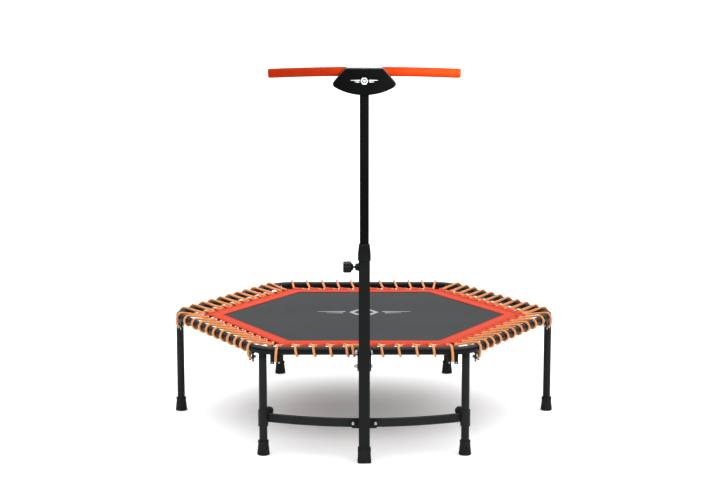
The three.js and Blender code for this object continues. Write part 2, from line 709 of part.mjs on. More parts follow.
// Sleeve round a front leg, with a lug behind the brace for the clamp knob's screw.
function braceSleeve(inboard) {
  const bore = LEG_R + GAP;
  const [x0, x1] = inboard < 0 ? [-31, -3] : [3, 31];
  const lug = box([x0, LUG_NEAR, SLEEVE_KNOB_Z - 18], [x1, LUG_FAR, SLEEVE_KNOB_Z + 12]);
  const tunnel = alongY(rod(SLEEVE_SCREW_R + GAP, LUG_NEAR - 1, LUG_FAR + 1))
    .translate(inboard * LUG_X, 0, SLEEVE_KNOB_Z);
  return cut(
    joined(solid(rod(SLEEVE_R, SLEEVE_BOTTOM_Z, SLEEVE_TOP_Z)), solid(lug)),
    solid(rod(bore, SLEEVE_BOTTOM_Z - 1, SLEEVE_TOP_Z + 1)), solid(tunnel),
  );
}

// Round plastic knob with its screw, turned from behind the leg.
function sleeveKnob() {
  const tip = LUG_NEAR + 0.8;
  const near = LUG_FAR + 2;
  const far = near + 14.5;
  return alongY(turned([
    [0, tip], [SLEEVE_SCREW_R, tip], [SLEEVE_SCREW_R, near], [9, near],
    [SLEEVE_KNOB_R, near + 4], [SLEEVE_KNOB_R, far - 2.5], [SLEEVE_KNOB_R - 3, far], [0, far],
  ]));
}

piece(assembly, 'brace', brace(), blackPaint());
[['left', -1], ['right', 1]].forEach(([name, side]) => {
  piece(assembly, `brace_screw_${name}`, braceScrew(side), zinc());
  const leg = new THREE.Group();
  leg.position.set(side * FRONT_LEG_X, FRONT_LEG_Y, 0);
  assembly.add(leg);
  piece(leg, `brace_sleeve_${name}`, braceSleeve(-side), blackPaint());
  const knob = piece(leg, `sleeve_knob_${name}`, sleeveKnob(), blackPlastic());
  knob.position.set(-side * LUG_X, 0, SLEEVE_KNOB_Z);
});

export default trampoline;
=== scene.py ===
"""Looks of a hexagonal mini trampoline with a T-bar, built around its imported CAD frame. Metres, +Z up."""

import math
import random

import bmesh
import bpy
from mathutils import Matrix, Vector


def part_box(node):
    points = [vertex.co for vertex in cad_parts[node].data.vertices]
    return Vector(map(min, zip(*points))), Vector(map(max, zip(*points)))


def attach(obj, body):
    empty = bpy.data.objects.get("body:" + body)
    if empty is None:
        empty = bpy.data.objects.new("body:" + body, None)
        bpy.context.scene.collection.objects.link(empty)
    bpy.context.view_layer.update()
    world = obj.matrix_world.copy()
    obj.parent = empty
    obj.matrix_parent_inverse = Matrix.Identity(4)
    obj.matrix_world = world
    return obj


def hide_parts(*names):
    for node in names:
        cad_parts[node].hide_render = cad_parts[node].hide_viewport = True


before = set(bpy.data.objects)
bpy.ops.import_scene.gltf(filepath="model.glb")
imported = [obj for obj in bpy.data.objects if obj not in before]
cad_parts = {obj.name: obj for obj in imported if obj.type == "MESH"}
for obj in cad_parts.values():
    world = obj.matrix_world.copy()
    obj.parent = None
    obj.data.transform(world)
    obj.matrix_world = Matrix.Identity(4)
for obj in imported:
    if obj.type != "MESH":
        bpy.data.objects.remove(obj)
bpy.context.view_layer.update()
random.seed(7)

MM = 0.001
TAU = 2 * math.pi
HANDS = (("left", -1), ("right", 1))  # the two sides of the handle and the brace, and their signs


def mm(points):
    """Points given in millimetres, in metres."""
    return [tuple(value * MM for value in point) for point in points]


def placed(name, data):
    """A new object in the scene."""
    made = bpy.data.objects.new(name, data)
    bpy.context.scene.collection.objects.link(made)
    return made


# ---- places and sizes, from the frame ----
def middle(node):
    low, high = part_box(node)
    return (low + high) / 2


def extent(node):
    low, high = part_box(node)
    return high - low


HEX = Vector((0, middle("mat").y, 0))  # floor point under the hexagon's centre
APOTHEM = middle("frame_side_back").y - HEX.y  # out to the frame tube's centreline
FRAME_Z = middle("frame_side_back").z
TUBE_R = extent("frame_side_back").z / 2
SIDE_HALF = extent("frame_side_back").x / 2 - 30 * MM  # half of a side tube, without its inserts
LEG_CENTRE = middle("leg_right").x
LEG_R = extent("leg_right").x / 2
LEG_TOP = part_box("leg_right")[1].z
MAT_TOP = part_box("mat")[1].z
POST = Vector((0, middle("inner_post").y, 0))
KNOB_Z = middle("lock_pin").z
BAR_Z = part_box("crossbar")[1].z - extent("crossbar").y / 2
BRACE_Z = middle("brace").z
STEP = math.pi / 3

CORNERS = ["front_right", "right", "back_right", "back_left", "left", "front_left"]
SIDES = ["front", "right_front", "right_back", "back", "left_back", "left_front"]

BEND_R = 110 * MM
ROPE_R = 4.2 * MM
WRAPS = 9
PITCH = 58.7 * MM
LEANS = {"right_front": 4 * MM, "left_front": 4 * MM, "back": 0.0}  # of the turns along the tube
FRONT_REACH = 26 * MM  # the rope runs on this far from a loop's middle before it bends to the tube
BACK_REACH = 18 * MM
LOOP_APOTHEM = 524 * MM
ROPE_WRAP_R = TUBE_R + ROPE_R - 0.5 * MM  # the stretched rope flattens a little on the tube
BAND_INNER = 452 * MM
BAND_OUTER = 508 * MM
LOOPS = [(i - WRAPS / 2) * PITCH for i in range(WRAPS + 1)]
HOOK_MIDDLE = PITCH * (WRAPS + 1) / 2 + 4.5 * MM  # middle of a hook plate and of the rope's end in it
# The front's turns off the even pitch. The middle one sits beside the post bracket.
FRONT_SHIFTS = [x * MM for x in (5, 7, 5, 1, -37, 1, 0, 1, 0)]
SIDE_SHIFTS = {"right_front": -17 * MM, "left_front": 19 * MM, "back": -8 * MM}  # off the even pitch


def loop_places(name):
    """The loops' middles. Where a side is shifted, its end loops give way less."""
    shift = SIDE_SHIFTS.get(name, 0.0)
    return [x + shift * (1 - abs(2 * i / WRAPS - 1) ** 4) for i, x in enumerate(LOOPS)]


def side_matrix(i):
    """From a frame whose -Y axis runs out to the middle of side i, to the row frame."""
    return Matrix.Translation(HEX) @ Matrix.Rotation(STEP * i, 4, "Z")


def corner_matrix(i):
    return Matrix.Translation(HEX) @ Matrix.Rotation(STEP * (i + 0.5), 4, "Z")


# ---- camera ----
def add_camera():
    data = bpy.data.cameras.new("camera")
    data.sensor_width = 36
    data.lens = 81.87
    data.clip_end = 200
    camera = placed("camera", data)
    heading = Matrix.Rotation(math.radians(-0.083), 4, "Z")
    tilt = Matrix.Rotation(math.radians(90 - 8.939), 4, "X")
    camera.matrix_world = Matrix.Translation(HEX + Vector((-0.0121, -6.04, 1.5888))) @ heading @ tilt
    bpy.context.scene.camera = camera


add_camera()


# ---- node helpers ----
class Shader:
    """A material's node tree, with short calls for the nodes that the materials share."""

    def __init__(self, name, roughness, **sockets):
        self.material = bpy.data.materials.new(name)
        self.material.use_nodes = True
        self.tree = self.material.node_tree
        self.bsdf = self.tree.nodes["Principled BSDF"]
        self.bsdf.inputs["Roughness"].default_value = roughness
        for socket, value in sockets.items():
            self.bsdf.inputs[SOCKETS[socket]].default_value = value

    def put(self, socket, value):
        """Links an output to the socket, or sets the socket to a value."""
        if isinstance(value, bpy.types.NodeSocket):
            self.tree.links.new(value, socket)
        else:
            socket.default_value = value

    def node(self, kind, **inputs):
        made = self.tree.nodes.new(kind)
        for name, value in inputs.items():
            self.put(made.inputs[name], value)
        return made

    def link(self, output, target):
        self.tree.links.new(output, self.bsdf.inputs[target])

    def place(self):
        return self.node("ShaderNodeTexCoord").outputs["Object"]

    def uv(self):
        return self.node("ShaderNodeTexCoord").outputs["UV"]

    def noise(self, scale, detail, vector=None):
        vector = vector or self.place()
        return self.node("ShaderNodeTexNoise", Vector=vector, Scale=scale, Detail=detail).outputs["Fac"]

    def math(self, operation, a, b=0.0):
        made = self.tree.nodes.new("ShaderNodeMath")
        made.operation = operation
        for socket, value in zip(made.inputs, (a, b)):
            self.put(socket, value)
        return made.outputs[0]

    def ramp(self, value, stops):
        made = self.node("ShaderNodeValToRGB", Fac=value)
        elements = made.color_ramp.elements
        while len(elements) < len(stops):
            elements.new(0.5)
        for element, (position, colour) in zip(elements, stops):
            element.position = position
            element.color = (*colour, 1)
        return made.outputs["Color"]

    def rough(self, scale, detail, low, high):
        """Roughness that varies with a noise between two values."""
        self.link(self.span(self.noise(scale, detail), low, high), "Roughness")

    def span(self, value, low, high):
        """A value from 0 to 1, spread from low to high."""
        made = self.node("ShaderNodeMapRange", Value=value, **{"To Min": low, "To Max": high})
        return made.outputs["Result"]

    def mix(self, factor, a, b, blend="MIX"):
        """Two colours mixed. The node's colour sockets stand at 6 and 7."""
        made = self.tree.nodes.new("ShaderNodeMix")
        made.data_type = "RGBA"
        made.blend_type = blend
        for index, value in ((0, factor), (6, a), (7, b)):
            self.put(made.inputs[index], (*value, 1) if isinstance(value, tuple) else value)
        return made.outputs[2]

    def bump(self, height, strength, distance):
        made = self.node("ShaderNodeBump", Height=height, Strength=strength, Distance=distance)
        self.link(made.outputs["Normal"], "Normal")


SOCKETS = {
    "metallic": "Metallic", "sheen": "Sheen Weight", "sheen_roughness": "Sheen Roughness",
    "specular": "Specular IOR Level",
}


# ---- materials ----
def with_painted_top_highlight(s, colour, top_highlight):
    """The colour, painted lighter grey on surfaces that face up: a painted top highlight."""
    normal = s.node("ShaderNodeTexCoord").outputs["Normal"]
    up = s.node("ShaderNodeSeparateXYZ", Vector=normal).outputs["Z"]
    top_highlight_mask = s.node("ShaderNodeMapRange", Value=up, **{"From Min": 0.3, "From Max": 0.95}).outputs["Result"]
    return s.mix(top_highlight_mask, colour, (top_highlight, top_highlight, top_highlight * 1.02))


def powder_coat(name, tone, roughness, gloss, top_highlight):
    s = Shader(name, roughness, specular=gloss)
    grain = s.noise(900, 2)
    broad = s.noise(9, 4)
    dark = tuple(0.82 * c for c in tone)
    light = tuple(1.25 * c for c in tone)
    # Up-facing surfaces get a lighter grey here: a painted top highlight.
    s.link(with_painted_top_highlight(s, s.ramp(broad, [(0.3, dark), (0.7, light)]), top_highlight), "Base Color")
    s.rough(40, 5, roughness - 0.06, roughness + 0.1)
    s.bump(grain, 0.25, 0.0004)
    return s.material


def rubber():
    s = Shader("rubber", 0.7, specular=0.15)
    tone = s.ramp(s.noise(25, 5), [(0.25, (0.006, 0.006, 0.006)), (0.8, (0.014, 0.014, 0.014))])
    s.link(tone, "Base Color")
    s.rough(160, 3, 0.58, 0.86)
    s.bump(s.noise(1300, 3), 0.35, 0.0005)
    return s.material


def moulded_plastic(name, tone, roughness, gloss, top_highlight):
    s = Shader(name, roughness, specular=gloss)
    leather = s.node("ShaderNodeTexVoronoi", Vector=s.place(), Scale=1400.0).outputs["Distance"]
    light = tuple(1.4 * c for c in tone)
    # Up-facing surfaces get a lighter grey here: a painted top highlight.
    s.link(with_painted_top_highlight(s, s.ramp(s.noise(14, 4), [(0.3, tone), (0.75, light)]), top_highlight), "Base Color")
    s.rough(60, 4, roughness - 0.07, roughness + 0.1)
    s.bump(leather, 0.22, 0.0004)
    return s.material


def plated_steel(name, tone):
    s = Shader(name, 0.3, metallic=1.0)
    light = tuple(1.65 * c for c in tone)
    s.link(s.ramp(s.noise(70, 4), [(0.3, tone), (0.7, light)]), "Base Color")
    s.rough(220, 4, 0.2, 0.45)
    s.bump(s.noise(600, 2), 0.15, 0.0003)
    return s.material


def weave_height(s, vector, pitch_x, pitch_y):
    """A plain weave: threads along both axes that pass over and under each other in turn."""
    parts = s.node("ShaderNodeSeparateXYZ", Vector=vector)
    x = s.math("MULTIPLY", parts.outputs["X"], math.pi / pitch_x)
    y = s.math("MULTIPLY", parts.outputs["Y"], math.pi / pitch_y)
    along = s.math("MULTIPLY", s.math("ABSOLUTE", s.math("SINE", x)), s.math("ABSOLUTE", s.math("SINE", y)))
    over = s.math("MULTIPLY", s.math("SINE", x), s.math("SINE", y))
    return along, s.math("ADD", s.math("MULTIPLY", over, 0.5), 0.5)


def mat_fabric():
    s = Shader("mat_fabric", 0.72, specular=0.08)
    place = s.place()
    along, over = weave_height(s, place, 1.5 * MM, 1.5 * MM)
    cloudy = s.noise(3.2, 5, place)
    base = s.ramp(cloudy, [(0.25, (0.050, 0.050, 0.0505)), (0.75, (0.058, 0.058, 0.0585))])
    threads = s.ramp(over, [(0.2, (0.72, 0.72, 0.74)), (0.8, (1.15, 1.15, 1.15))])
    s.link(s.mix(1.0, base, threads, "MULTIPLY"), "Base Color")
    s.link(s.span(s.noise(90, 3, place), 0.62, 0.82), "Roughness")
    s.bump(along, 0.35, 0.0005)
    return s.material


def webbing(name, deep, bright, hem_shade_from=None):
    """Ribbed webbing. The first UV axis runs along the strap, and the second across it, in metres.
    Past hem_shade_from on the second axis, over the doubled hem, the tone is darker: painted shade."""
    s = Shader(name, 0.6, specular=0.15)
    uv = s.uv()
    along, over = weave_height(s, uv, 1.7 * MM, 1.1 * MM)
    tone = s.mix(s.span(over, 0.0, 1.0), deep, bright)
    patchy = s.span(s.noise(22, 4), 0.0, 0.35)
    tone = s.mix(patchy, tone, tuple(0.78 * c for c in deep))
    if hem_shade_from:
        across = s.node("ShaderNodeSeparateXYZ", Vector=uv).outputs["Y"]
        # Darkens the band's outer hem: painted shade.
        painted_hem_shade = s.math("MULTIPLY", s.math("GREATER_THAN", across, hem_shade_from), 0.3)
        tone = s.mix(painted_hem_shade, tone, tuple(0.8 * c for c in deep))
    s.link(tone, "Base Color")
    s.bump(along, 0.5, 0.0006)
    return s.material


def braided_rope():
    """Sixteen-strand braid. The first UV axis runs along the rope, and the second round it, in metres."""
    s = Shader("bungee_cord", 0.55, sheen=0.25, sheen_roughness=0.3, specular=0.2)
    parts = s.node("ShaderNodeSeparateXYZ", Vector=s.uv())
    run = s.math("MULTIPLY", parts.outputs["X"], math.pi / (3.2 * MM))
    turn = s.math("MULTIPLY", parts.outputs["Y"], 8 / ROPE_R)
    left = s.math("SINE", s.math("ADD", run, turn))
    right = s.math("SINE", s.math("SUBTRACT", run, turn))
    height = s.math("MULTIPLY", s.math("ABSOLUTE", left), s.math("ABSOLUTE", right))
    over = s.math("MULTIPLY", left, right)
    tone = s.ramp(s.math("ADD", s.math("MULTIPLY", over, 0.5), 0.5), [
        (0.15, (0.62, 0.13, 0.024)), (0.5, (0.88, 0.31, 0.090)), (0.85, (0.97, 0.57, 0.29))])
    s.link(s.mix(s.span(s.noise(45, 4), 0.0, 0.3), tone, (0.72, 0.19, 0.04)), "Base Color")
    s.bump(height, 0.6, 0.0008)
    return s.material


def grip_foam():
    s = Shader("grip_foam", 0.62, specular=0.05)
    tone = s.ramp(s.noise(30, 5), [(0.3, (0.33, 0.0165, 0.0003)), (0.75, (0.41, 0.0230, 0.0004))])
    s.link(tone, "Base Color")
    s.rough(300, 3, 0.5, 0.74)
    s.bump(s.noise(1500, 3), 0.4, 0.0006)
    return s.material


def print_ink(name, tone):
    s = Shader(name, 0.6)
    s.link(s.ramp(s.noise(120, 5), [(0.25, tuple(0.8 * c for c in tone)), (0.6, tone)]), "Base Color")
    s.bump(s.noise(900, 2), 0.2, 0.0002)
    return s.material


# The last argument of powder_coat and moulded_plastic is the grey of a painted top highlight on up-facing
# surfaces.
PAINT = powder_coat("frame_paint", (0.0095, 0.0095, 0.0098), 0.42, 0.12, 0.03)
# A darker copy of the frame paint for the ring tube, its corners and hook plates: painted shade.
SHADED_TUBE_PAINT = powder_coat("shaded_tube_paint", (0.0030, 0.0030, 0.0032), 0.32, 0.1, 0.034)
POST_PAINT = powder_coat("post_paint", (0.0072, 0.0072, 0.0074), 0.42, 0.11, 0.03)
INNER_PAINT = powder_coat("inner_post_paint", (0.0022, 0.0022, 0.0023), 0.42, 0.04, 0.02)
RUBBER = rubber()
PLASTIC = moulded_plastic("black_plastic", (0.0042, 0.0042, 0.0044), 0.5, 0.1, 0.05)
COVER = moulded_plastic("cover_plastic", (0.0016, 0.0016, 0.0017), 0.5, 0.03, 0.11)
ZINC = plated_steel("zinc_steel", (0.30, 0.305, 0.31))
PIN_STEEL = plated_steel("pin_steel", (0.07, 0.07, 0.072))
MAT = mat_fabric()
# The band's outer hem, from hem_shade_from across it, is darkened as painted shade.
BAND = webbing("border_webbing", (0.54, 0.040, 0.014), (0.76, 0.085, 0.032), hem_shade_from=0.4915)
LOOP = webbing("loop_webbing", (0.50, 0.034, 0.011), (0.72, 0.078, 0.026))
THREAD = webbing("border_thread", (0.34, 0.022, 0.008), (0.46, 0.040, 0.014))
# Dark red material for a bead along the band's inner edge: painted shade.
SHADE_EDGE = webbing("painted_shade_edge", (0.20, 0.010, 0.006), (0.30, 0.018, 0.010))
ROPE = braided_rope()
FOAM = grip_foam()
MAT_PRINT = print_ink("mat_print", (0.36, 0.36, 0.37))
COVER_PRINT = print_ink("cover_print", (0.85, 0.85, 0.85))


# ---- mesh helpers ----
def outward(mesh):
    """Turns every face of closed shells outwards."""
    bm = bmesh.new()
    bm.from_mesh(mesh)
    bmesh.ops.recalc_face_normals(bm, faces=bm.faces)
    bm.to_mesh(mesh)
    bm.free()


class Build:
    """Collects closed shells into one mesh, each with its own transform and material."""

    def __init__(self):
        self.verts, self.faces, self.uvs, self.marks, self.materials = [], [], [], [], []

    def add(self, shell, material, matrix=Matrix.Identity(4)):
        verts, faces, *rest = shell
        uvs = rest[0] if rest else [(v[0], v[1]) for v in verts]
        if material not in self.materials:
            self.materials.append(material)
        start = len(self.verts)
        self.verts += [matrix @ Vector(v) for v in verts]
        self.uvs += uvs
        self.faces += [tuple(start + i for i in face) for face in faces]
        self.marks += [self.materials.index(material)] * len(faces)
        return self

    def piece(self, name, body, slot, smooth=35, replaces=()):
        """One piece riding on a body, shaded smooth below an angle in degrees."""
        mesh = bpy.data.meshes.new(name)
        mesh.from_pydata([tuple(v) for v in self.verts], [], self.faces)
        layer = mesh.uv_layers.new(name="UVMap")
        for polygon in mesh.polygons:
            polygon.material_index = self.marks[polygon.index]
            for loop in polygon.loop_indices:
                layer.data[loop].uv = self.uvs[mesh.loops[loop].vertex_index]
        for material in self.materials:
            mesh.materials.append(material)
        outward(mesh)
        mesh.shade_smooth()
        mesh.set_sharp_from_angle(angle=math.radians(smooth))
        piece = placed(name, mesh)
        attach(piece, body)
        if replaces:
            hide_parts(*replaces)
        return piece


def circle(radius, count):
    angles = [TAU * i / count for i in range(count)]
    return [(radius * math.cos(angle), radius * math.sin(angle)) for angle in angles]


def rounded_rectangle(half_x, half_y, radius, steps=5):
    """Outline of a rectangle with round corners, anticlockwise."""
    outline = []
    for quarter, (sx, sy) in enumerate([(1, 1), (-1, 1), (-1, -1), (1, -1)]):
        for i in range(steps + 1):
            angle = math.pi / 2 * (quarter + i / steps)
            outline.append((sx * (half_x - radius) + radius * math.cos(angle),
                            sy * (half_y - radius) + radius * math.sin(angle)))
    return outline


def stacked(rings, cap=True, loop=False):
    """Closed shell through rings of points, all with the same count."""
    count = len(rings[0])
    verts = [p for ring in rings for p in ring]
    faces = []
    last = len(rings) if loop else len(rings) - 1
    for r in range(last):
        low, high = r * count, (r + 1) % len(rings) * count
        for i in range(count):
            j = (i + 1) % count
            faces.append((low + i, low + j, high + j, high + i))
    if cap and not loop:
        faces.append(tuple(reversed(range(count))))
        faces.append(tuple(range((len(rings) - 1) * count, len(rings) * count)))
    return verts, faces


def transported(points):
    """Tangent, normal and binormal at each point, without twist."""
    tangents = []
    for i, _ in enumerate(points):
        before, after = points[max(i - 1, 0)], points[min(i + 1, len(points) - 1)]
        tangents.append((after - before).normalized())
    helper = Vector((0, 0, 1)) if abs(tangents[0].z) < 0.9 else Vector((1, 0, 0))
    normal = (helper - tangents[0] * helper.dot(tangents[0])).normalized()
    frames = []
    for tangent in tangents:
        normal = (normal - tangent * normal.dot(tangent)).normalized()
        frames.append((tangent, normal, tangent.cross(normal)))
    return frames


def swept(points, section, shrink=None):
    """Closed shell of a section carried along points, with UVs in metres: along, then round."""
    points = [Vector(p) for p in points]
    frames = transported(points)
    rings, uvs, run = [], [], 0.0
    lengths = [0.0]
    for a, b in zip(section, section[1:]):
        lengths.append(lengths[-1] + math.dist(a, b))
    for i, (point, (_, normal, binormal)) in enumerate(zip(points, frames)):
        if i:
            run += (point - points[i - 1]).length
        scale = shrink[i] if shrink else 1.0
        rings.append([point + (normal * a + binormal * b) * scale for a, b in section])
        uvs += [(run, length) for length in lengths]
    verts, faces = stacked(rings)
    return verts, faces, uvs


def smooth_path(points, steps):
    """Catmull-Rom curve through the points."""
    points = [Vector(p) for p in points]
    padded = [2 * points[0] - points[1], *points, 2 * points[-1] - points[-2]]
    path = []
    for a, b, c, d in zip(padded, padded[1:], padded[2:], padded[3:]):
        for i in range(steps):
            t = i / steps
            path.append(0.5 * (2 * b + (c - a) * t + (2 * a - 5 * b + 4 * c - d) * t * t
                               + (3 * b - a - 3 * c + d) * t ** 3))
    path.append(points[-1])
    return path


def turned(profile, count=40, wave=None):
    """Shell turned about Z through (radius, height) pairs, which start and end on the axis or close on
    themselves. wave(angle, height) scales the radius."""
    on_axis = profile[0][0] == 0
    inner = profile[1:-1] if on_axis else profile
    rings = []
    for radius, height in inner:
        ring = []
        for i in range(count):
            angle = TAU * i / count
            r = radius * (wave(angle, height) if wave else 1)
            ring.append((r * math.cos(angle), r * math.sin(angle), height))
        rings.append(ring)
    verts, faces = stacked(rings, cap=False, loop=not on_axis)
    if on_axis:
        for end, offset, flip in ((profile[0], 0, True), (profile[-1], (len(inner) - 1) * count, False)):
            tip = len(verts)
            verts.append((0, 0, end[1]))
            for i in range(count):
                j = (i + 1) % count
                pair = (offset + i, offset + j)
                faces.append((tip, pair[1], pair[0]) if flip else (tip, pair[0], pair[1]))
    return verts, faces


def plate(outline, low, high, edge=0.0):
    """Flat plate in XY between two heights, its edges rounded by edge."""
    if not edge:
        return stacked([[(x, y, z) for x, y in outline] for z in (low, high)])
    inset = inset_outline(outline, edge)
    slight = inset_outline(outline, edge * 0.3)
    rings = [(inset, low), (slight, low + edge * 0.3), (outline, low + edge),
             (outline, high - edge), (slight, high - edge * 0.3), (inset, high)]
    return stacked([[(x, y, z) for x, y in ring] for ring, z in rings])


def inset_outline(outline, distance):
    """The outline moved inwards, anticlockwise outlines only."""
    moved = []
    count = len(outline)
    for i in range(count):
        a, b, c = outline[i - 1], outline[i], outline[(i + 1) % count]
        before = Vector((b[0] - a[0], b[1] - a[1])).normalized()
        after = Vector((c[0] - b[0], c[1] - b[1])).normalized()
        normal = Vector((-before.y - after.y, before.x + after.x))
        normal = normal.normalized() if normal.length > 1e-9 else Vector((-before.y, before.x))
        lean = max(normal.dot(Vector((-before.y, before.x))), 0.5)
        moved.append((b[0] + normal.x * distance / lean, b[1] + normal.y * distance / lean))
    return moved


def along_x(x=0.0, y=0.0, z=0.0):
    """Turns a shape made about Z to lie along +X, at a place."""
    return Matrix.Translation((x, y, z)) @ Matrix.Rotation(math.pi / 2, 4, "Y")


def along_y(x=0.0, y=0.0, z=0.0):
    """Turns a shape made about Z to lie along +Y, at a place."""
    return Matrix.Translation((x, y, z)) @ Matrix.Rotation(-math.pi / 2, 4, "X")


STAND = Matrix.Rotation(math.pi / 2, 4, "X")  # stands a flat shape up, its top towards -Y


def rippled(count, depth=0.1):
    """Sizes along a weld bead."""
    return [1 - depth + 2 * depth * (k % 2) for k in range(count)]


# ---- frame: bent corners with their hooks, straight sides ----
def hook_outline():
    """Two-pronged plate, seen from outside: X along the tube, Y up, its prongs' ends down."""
    half, slot, drop = 18.5 * MM, 4.6 * MM, 31 * MM
    outline = [(half, 4 * MM), (-half, 4 * MM)]
    for side in (-1, 1):
        middle_x = side * (half + slot) / 2
        prong = rounded_rectangle((half - slot) / 2, 8 * MM, 3.2 * MM)
        outline += [(middle_x + x, y + 8 * MM - drop) for x, y in prong if y < 0]
        if side < 0:
            turns = [math.pi * (1 - k / 8) for k in range(9)]
            outline += [(slot * math.cos(turn), slot * math.sin(turn) - 11 * MM) for turn in turns]
    return outline


def corner_path(stub=33 * MM, steps=20):
    """The bend's centreline, with a straight stub at each end."""
    centre = LEG_CENTRE - BEND_R
    points = []
    for side in (-1, 1):
        angle = side * STEP / 2
        end = Vector((BEND_R * math.sin(angle) + side * stub * math.cos(angle),
                      -centre - BEND_R * math.cos(angle) + stub * math.sin(STEP / 2), FRAME_Z))
        points.append(end)
    bend = []
    for i in range(steps + 1):
        angle = STEP * (i / steps - 0.5)
        bend.append(Vector((BEND_R * math.sin(angle), -centre - BEND_R * math.cos(angle), FRAME_Z)))
    return [points[0], *bend, points[1]]


def dome(radius, height):
    """Low rivet or button head on the XY plane."""
    return turned([(0, 0), (radius, 0), (radius, height * 0.4), (radius * 0.86, height * 0.78),
                   (radius * 0.5, height * 0.97), (0, height)], 20)


def build_corner(i, name):
    m = corner_matrix(i)
    b = Build()
    path = corner_path()
    b.add(swept(path, circle(TUBE_R, 32)), SHADED_TUBE_PAINT, m)
    for end, nearer in ((path[0], path[1]), (path[-1], path[-2])):  # a raised lip at each mouth
        away = (end - nearer).normalized()
        lip = [end - away * 1.2 * MM, end + away * 0.2 * MM]
        b.add(swept(lip, circle(TUBE_R + 0.35 * MM, 32)), SHADED_TUBE_PAINT, m)
    leg = Vector((0, -LEG_CENTRE, 0))
    weld_z = FRAME_Z - TUBE_R * 0.8
    stub = [(0, LEG_TOP + 0.3 * MM), (LEG_R, LEG_TOP + 0.3 * MM), (LEG_R, weld_z - 2 * MM),
            (LEG_R + 2.2 * MM, weld_z + 1 * MM), (LEG_R + 2 * MM, weld_z + 3.5 * MM), (0, FRAME_Z)]
    b.add(turned(stub, 40, lambda a, h: 1 + (0.012 * math.sin(17 * a) if h > weld_z else 0)),
          SHADED_TUBE_PAINT, m @ Matrix.Translation(leg))
    spigot = [(0, LEG_TOP - 60 * MM), (10.6 * MM, LEG_TOP - 60 * MM), (11.2 * MM, LEG_TOP - 57 * MM),
              (11.2 * MM, LEG_TOP + 1 * MM), (0, LEG_TOP + 1 * MM)]
    b.add(turned(spigot, 24), SHADED_TUBE_PAINT, m @ Matrix.Translation(leg))
    for side in (-1, 1):
        turn = Matrix.Rotation(side * STEP / 2, 4, "Z")
        place = m @ turn @ Matrix.Translation((-side * HOOK_MIDDLE, -APOTHEM - 4 * MM, FRAME_Z - TUBE_R))
        b.add(plate(hook_outline(), 0, 3 * MM, 0.6 * MM), SHADED_TUBE_PAINT, place @ STAND)
        bead = [(-18 * MM, 1 * MM, 1.2 * MM), (18 * MM, 1 * MM, 1.2 * MM)]
        b.add(swept(bead, circle(2 * MM, 10)), SHADED_TUBE_PAINT, place)
        for prong in (-1, 1):
            head = Matrix.Translation((prong * 11.7 * MM, -3 * MM, -25 * MM)) @ STAND
            b.add(dome(3.1 * MM, 1.8 * MM), ZINC, place @ head)
    screw = Matrix.Translation((0, -LEG_CENTRE + TUBE_R - 0.4 * MM, FRAME_Z))
    b.add(dome(3.6 * MM, 2.2 * MM), ZINC, m @ screw @ Matrix.Rotation(-math.pi / 2, 4, "X"))
    b.piece(f"corner_{name}", "frame", "frame_paint", 35, [f"frame_corner_{name}"])


def build_side(i, name):
    """Straight tube with a swaged end at each side, that plugs into the corner piece."""
    plug = SIDE_HALF + 28 * MM
    rings = []
    ends = [(-plug, 0.83), (-SIDE_HALF, 0.83), (-SIDE_HALF, 1)]
    for x, size in ends + [(-x, size) for x, size in reversed(ends)]:
        rings.append([(x, a - APOTHEM, b + FRAME_Z) for a, b in circle(size * TUBE_R, 32)])
    b = Build().add(stacked(rings), SHADED_TUBE_PAINT, side_matrix(i))
    b.piece(f"side_{name}", "frame", "frame_paint", 35, [f"frame_side_{name}"])


def foot_shape():
    high, floor = 50 * MM, 6 * MM
    pocket = LEG_R + 0.3 * MM
    outside = mm([(0, 0.8), (13, 0.8), (14, 0), (19.8, 0), (21.2, 1.4), (21.4, 5), (20.5, 13), (19.1, 25),
                  (18, 36), (17.7, 41), (18.5, 42.2), (18.5, 48.6), (17.6, 50)])
    return outside + [(pocket + 0.7 * MM, high), (pocket, high - 1 * MM), (pocket, floor), (0, floor)]


def foot_ribs(angle, height):
    """Shallow flutes up the flared part of a foot."""
    if not 4 * MM < height < 41.5 * MM:
        return 1
    return 1 - 0.022 * (0.5 + 0.5 * math.cos(16 * angle)) ** 3


def build_leg(i, name):
    centre = corner_matrix(i) @ Matrix.Translation((0, -LEG_CENTRE, 0))
    inner = LEG_R - 1.8 * MM
    tube = [(inner, 6.3 * MM), (LEG_R - 0.4 * MM, 6.3 * MM), (LEG_R, 6.8 * MM), (LEG_R, LEG_TOP - 0.8 * MM),
            (LEG_R - 0.6 * MM, LEG_TOP), (inner, LEG_TOP)]
    b = Build().add(turned(tube, 40), PAINT, centre)
    b.piece(f"leg_tube_{name}", "frame", "frame_paint", 35, [f"leg_{name}"])
    b = Build().add(turned(foot_shape(), 96, foot_ribs), RUBBER, centre)
    b.piece(f"rubber_foot_{name}", "frame", "rubber", 40, [f"foot_{name}"])


for number, corner in enumerate(CORNERS):
    build_corner(number, corner)
    build_leg(number, corner)
for number, side in enumerate(SIDES):
    build_side(number, side)


# ---- mat ----
def hexagon_point(ring, k, steps, radius):
    """Point k of a hexagonal ring with steps points to a side."""
    side, part = divmod(k, steps)
    a = radius * ring * Vector((math.cos(STEP * side), math.sin(STEP * side)))
    b = radius * ring * Vector((math.cos(STEP * (side + 1)), math.sin(STEP * (side + 1))))
    return a.lerp(b, part / steps)


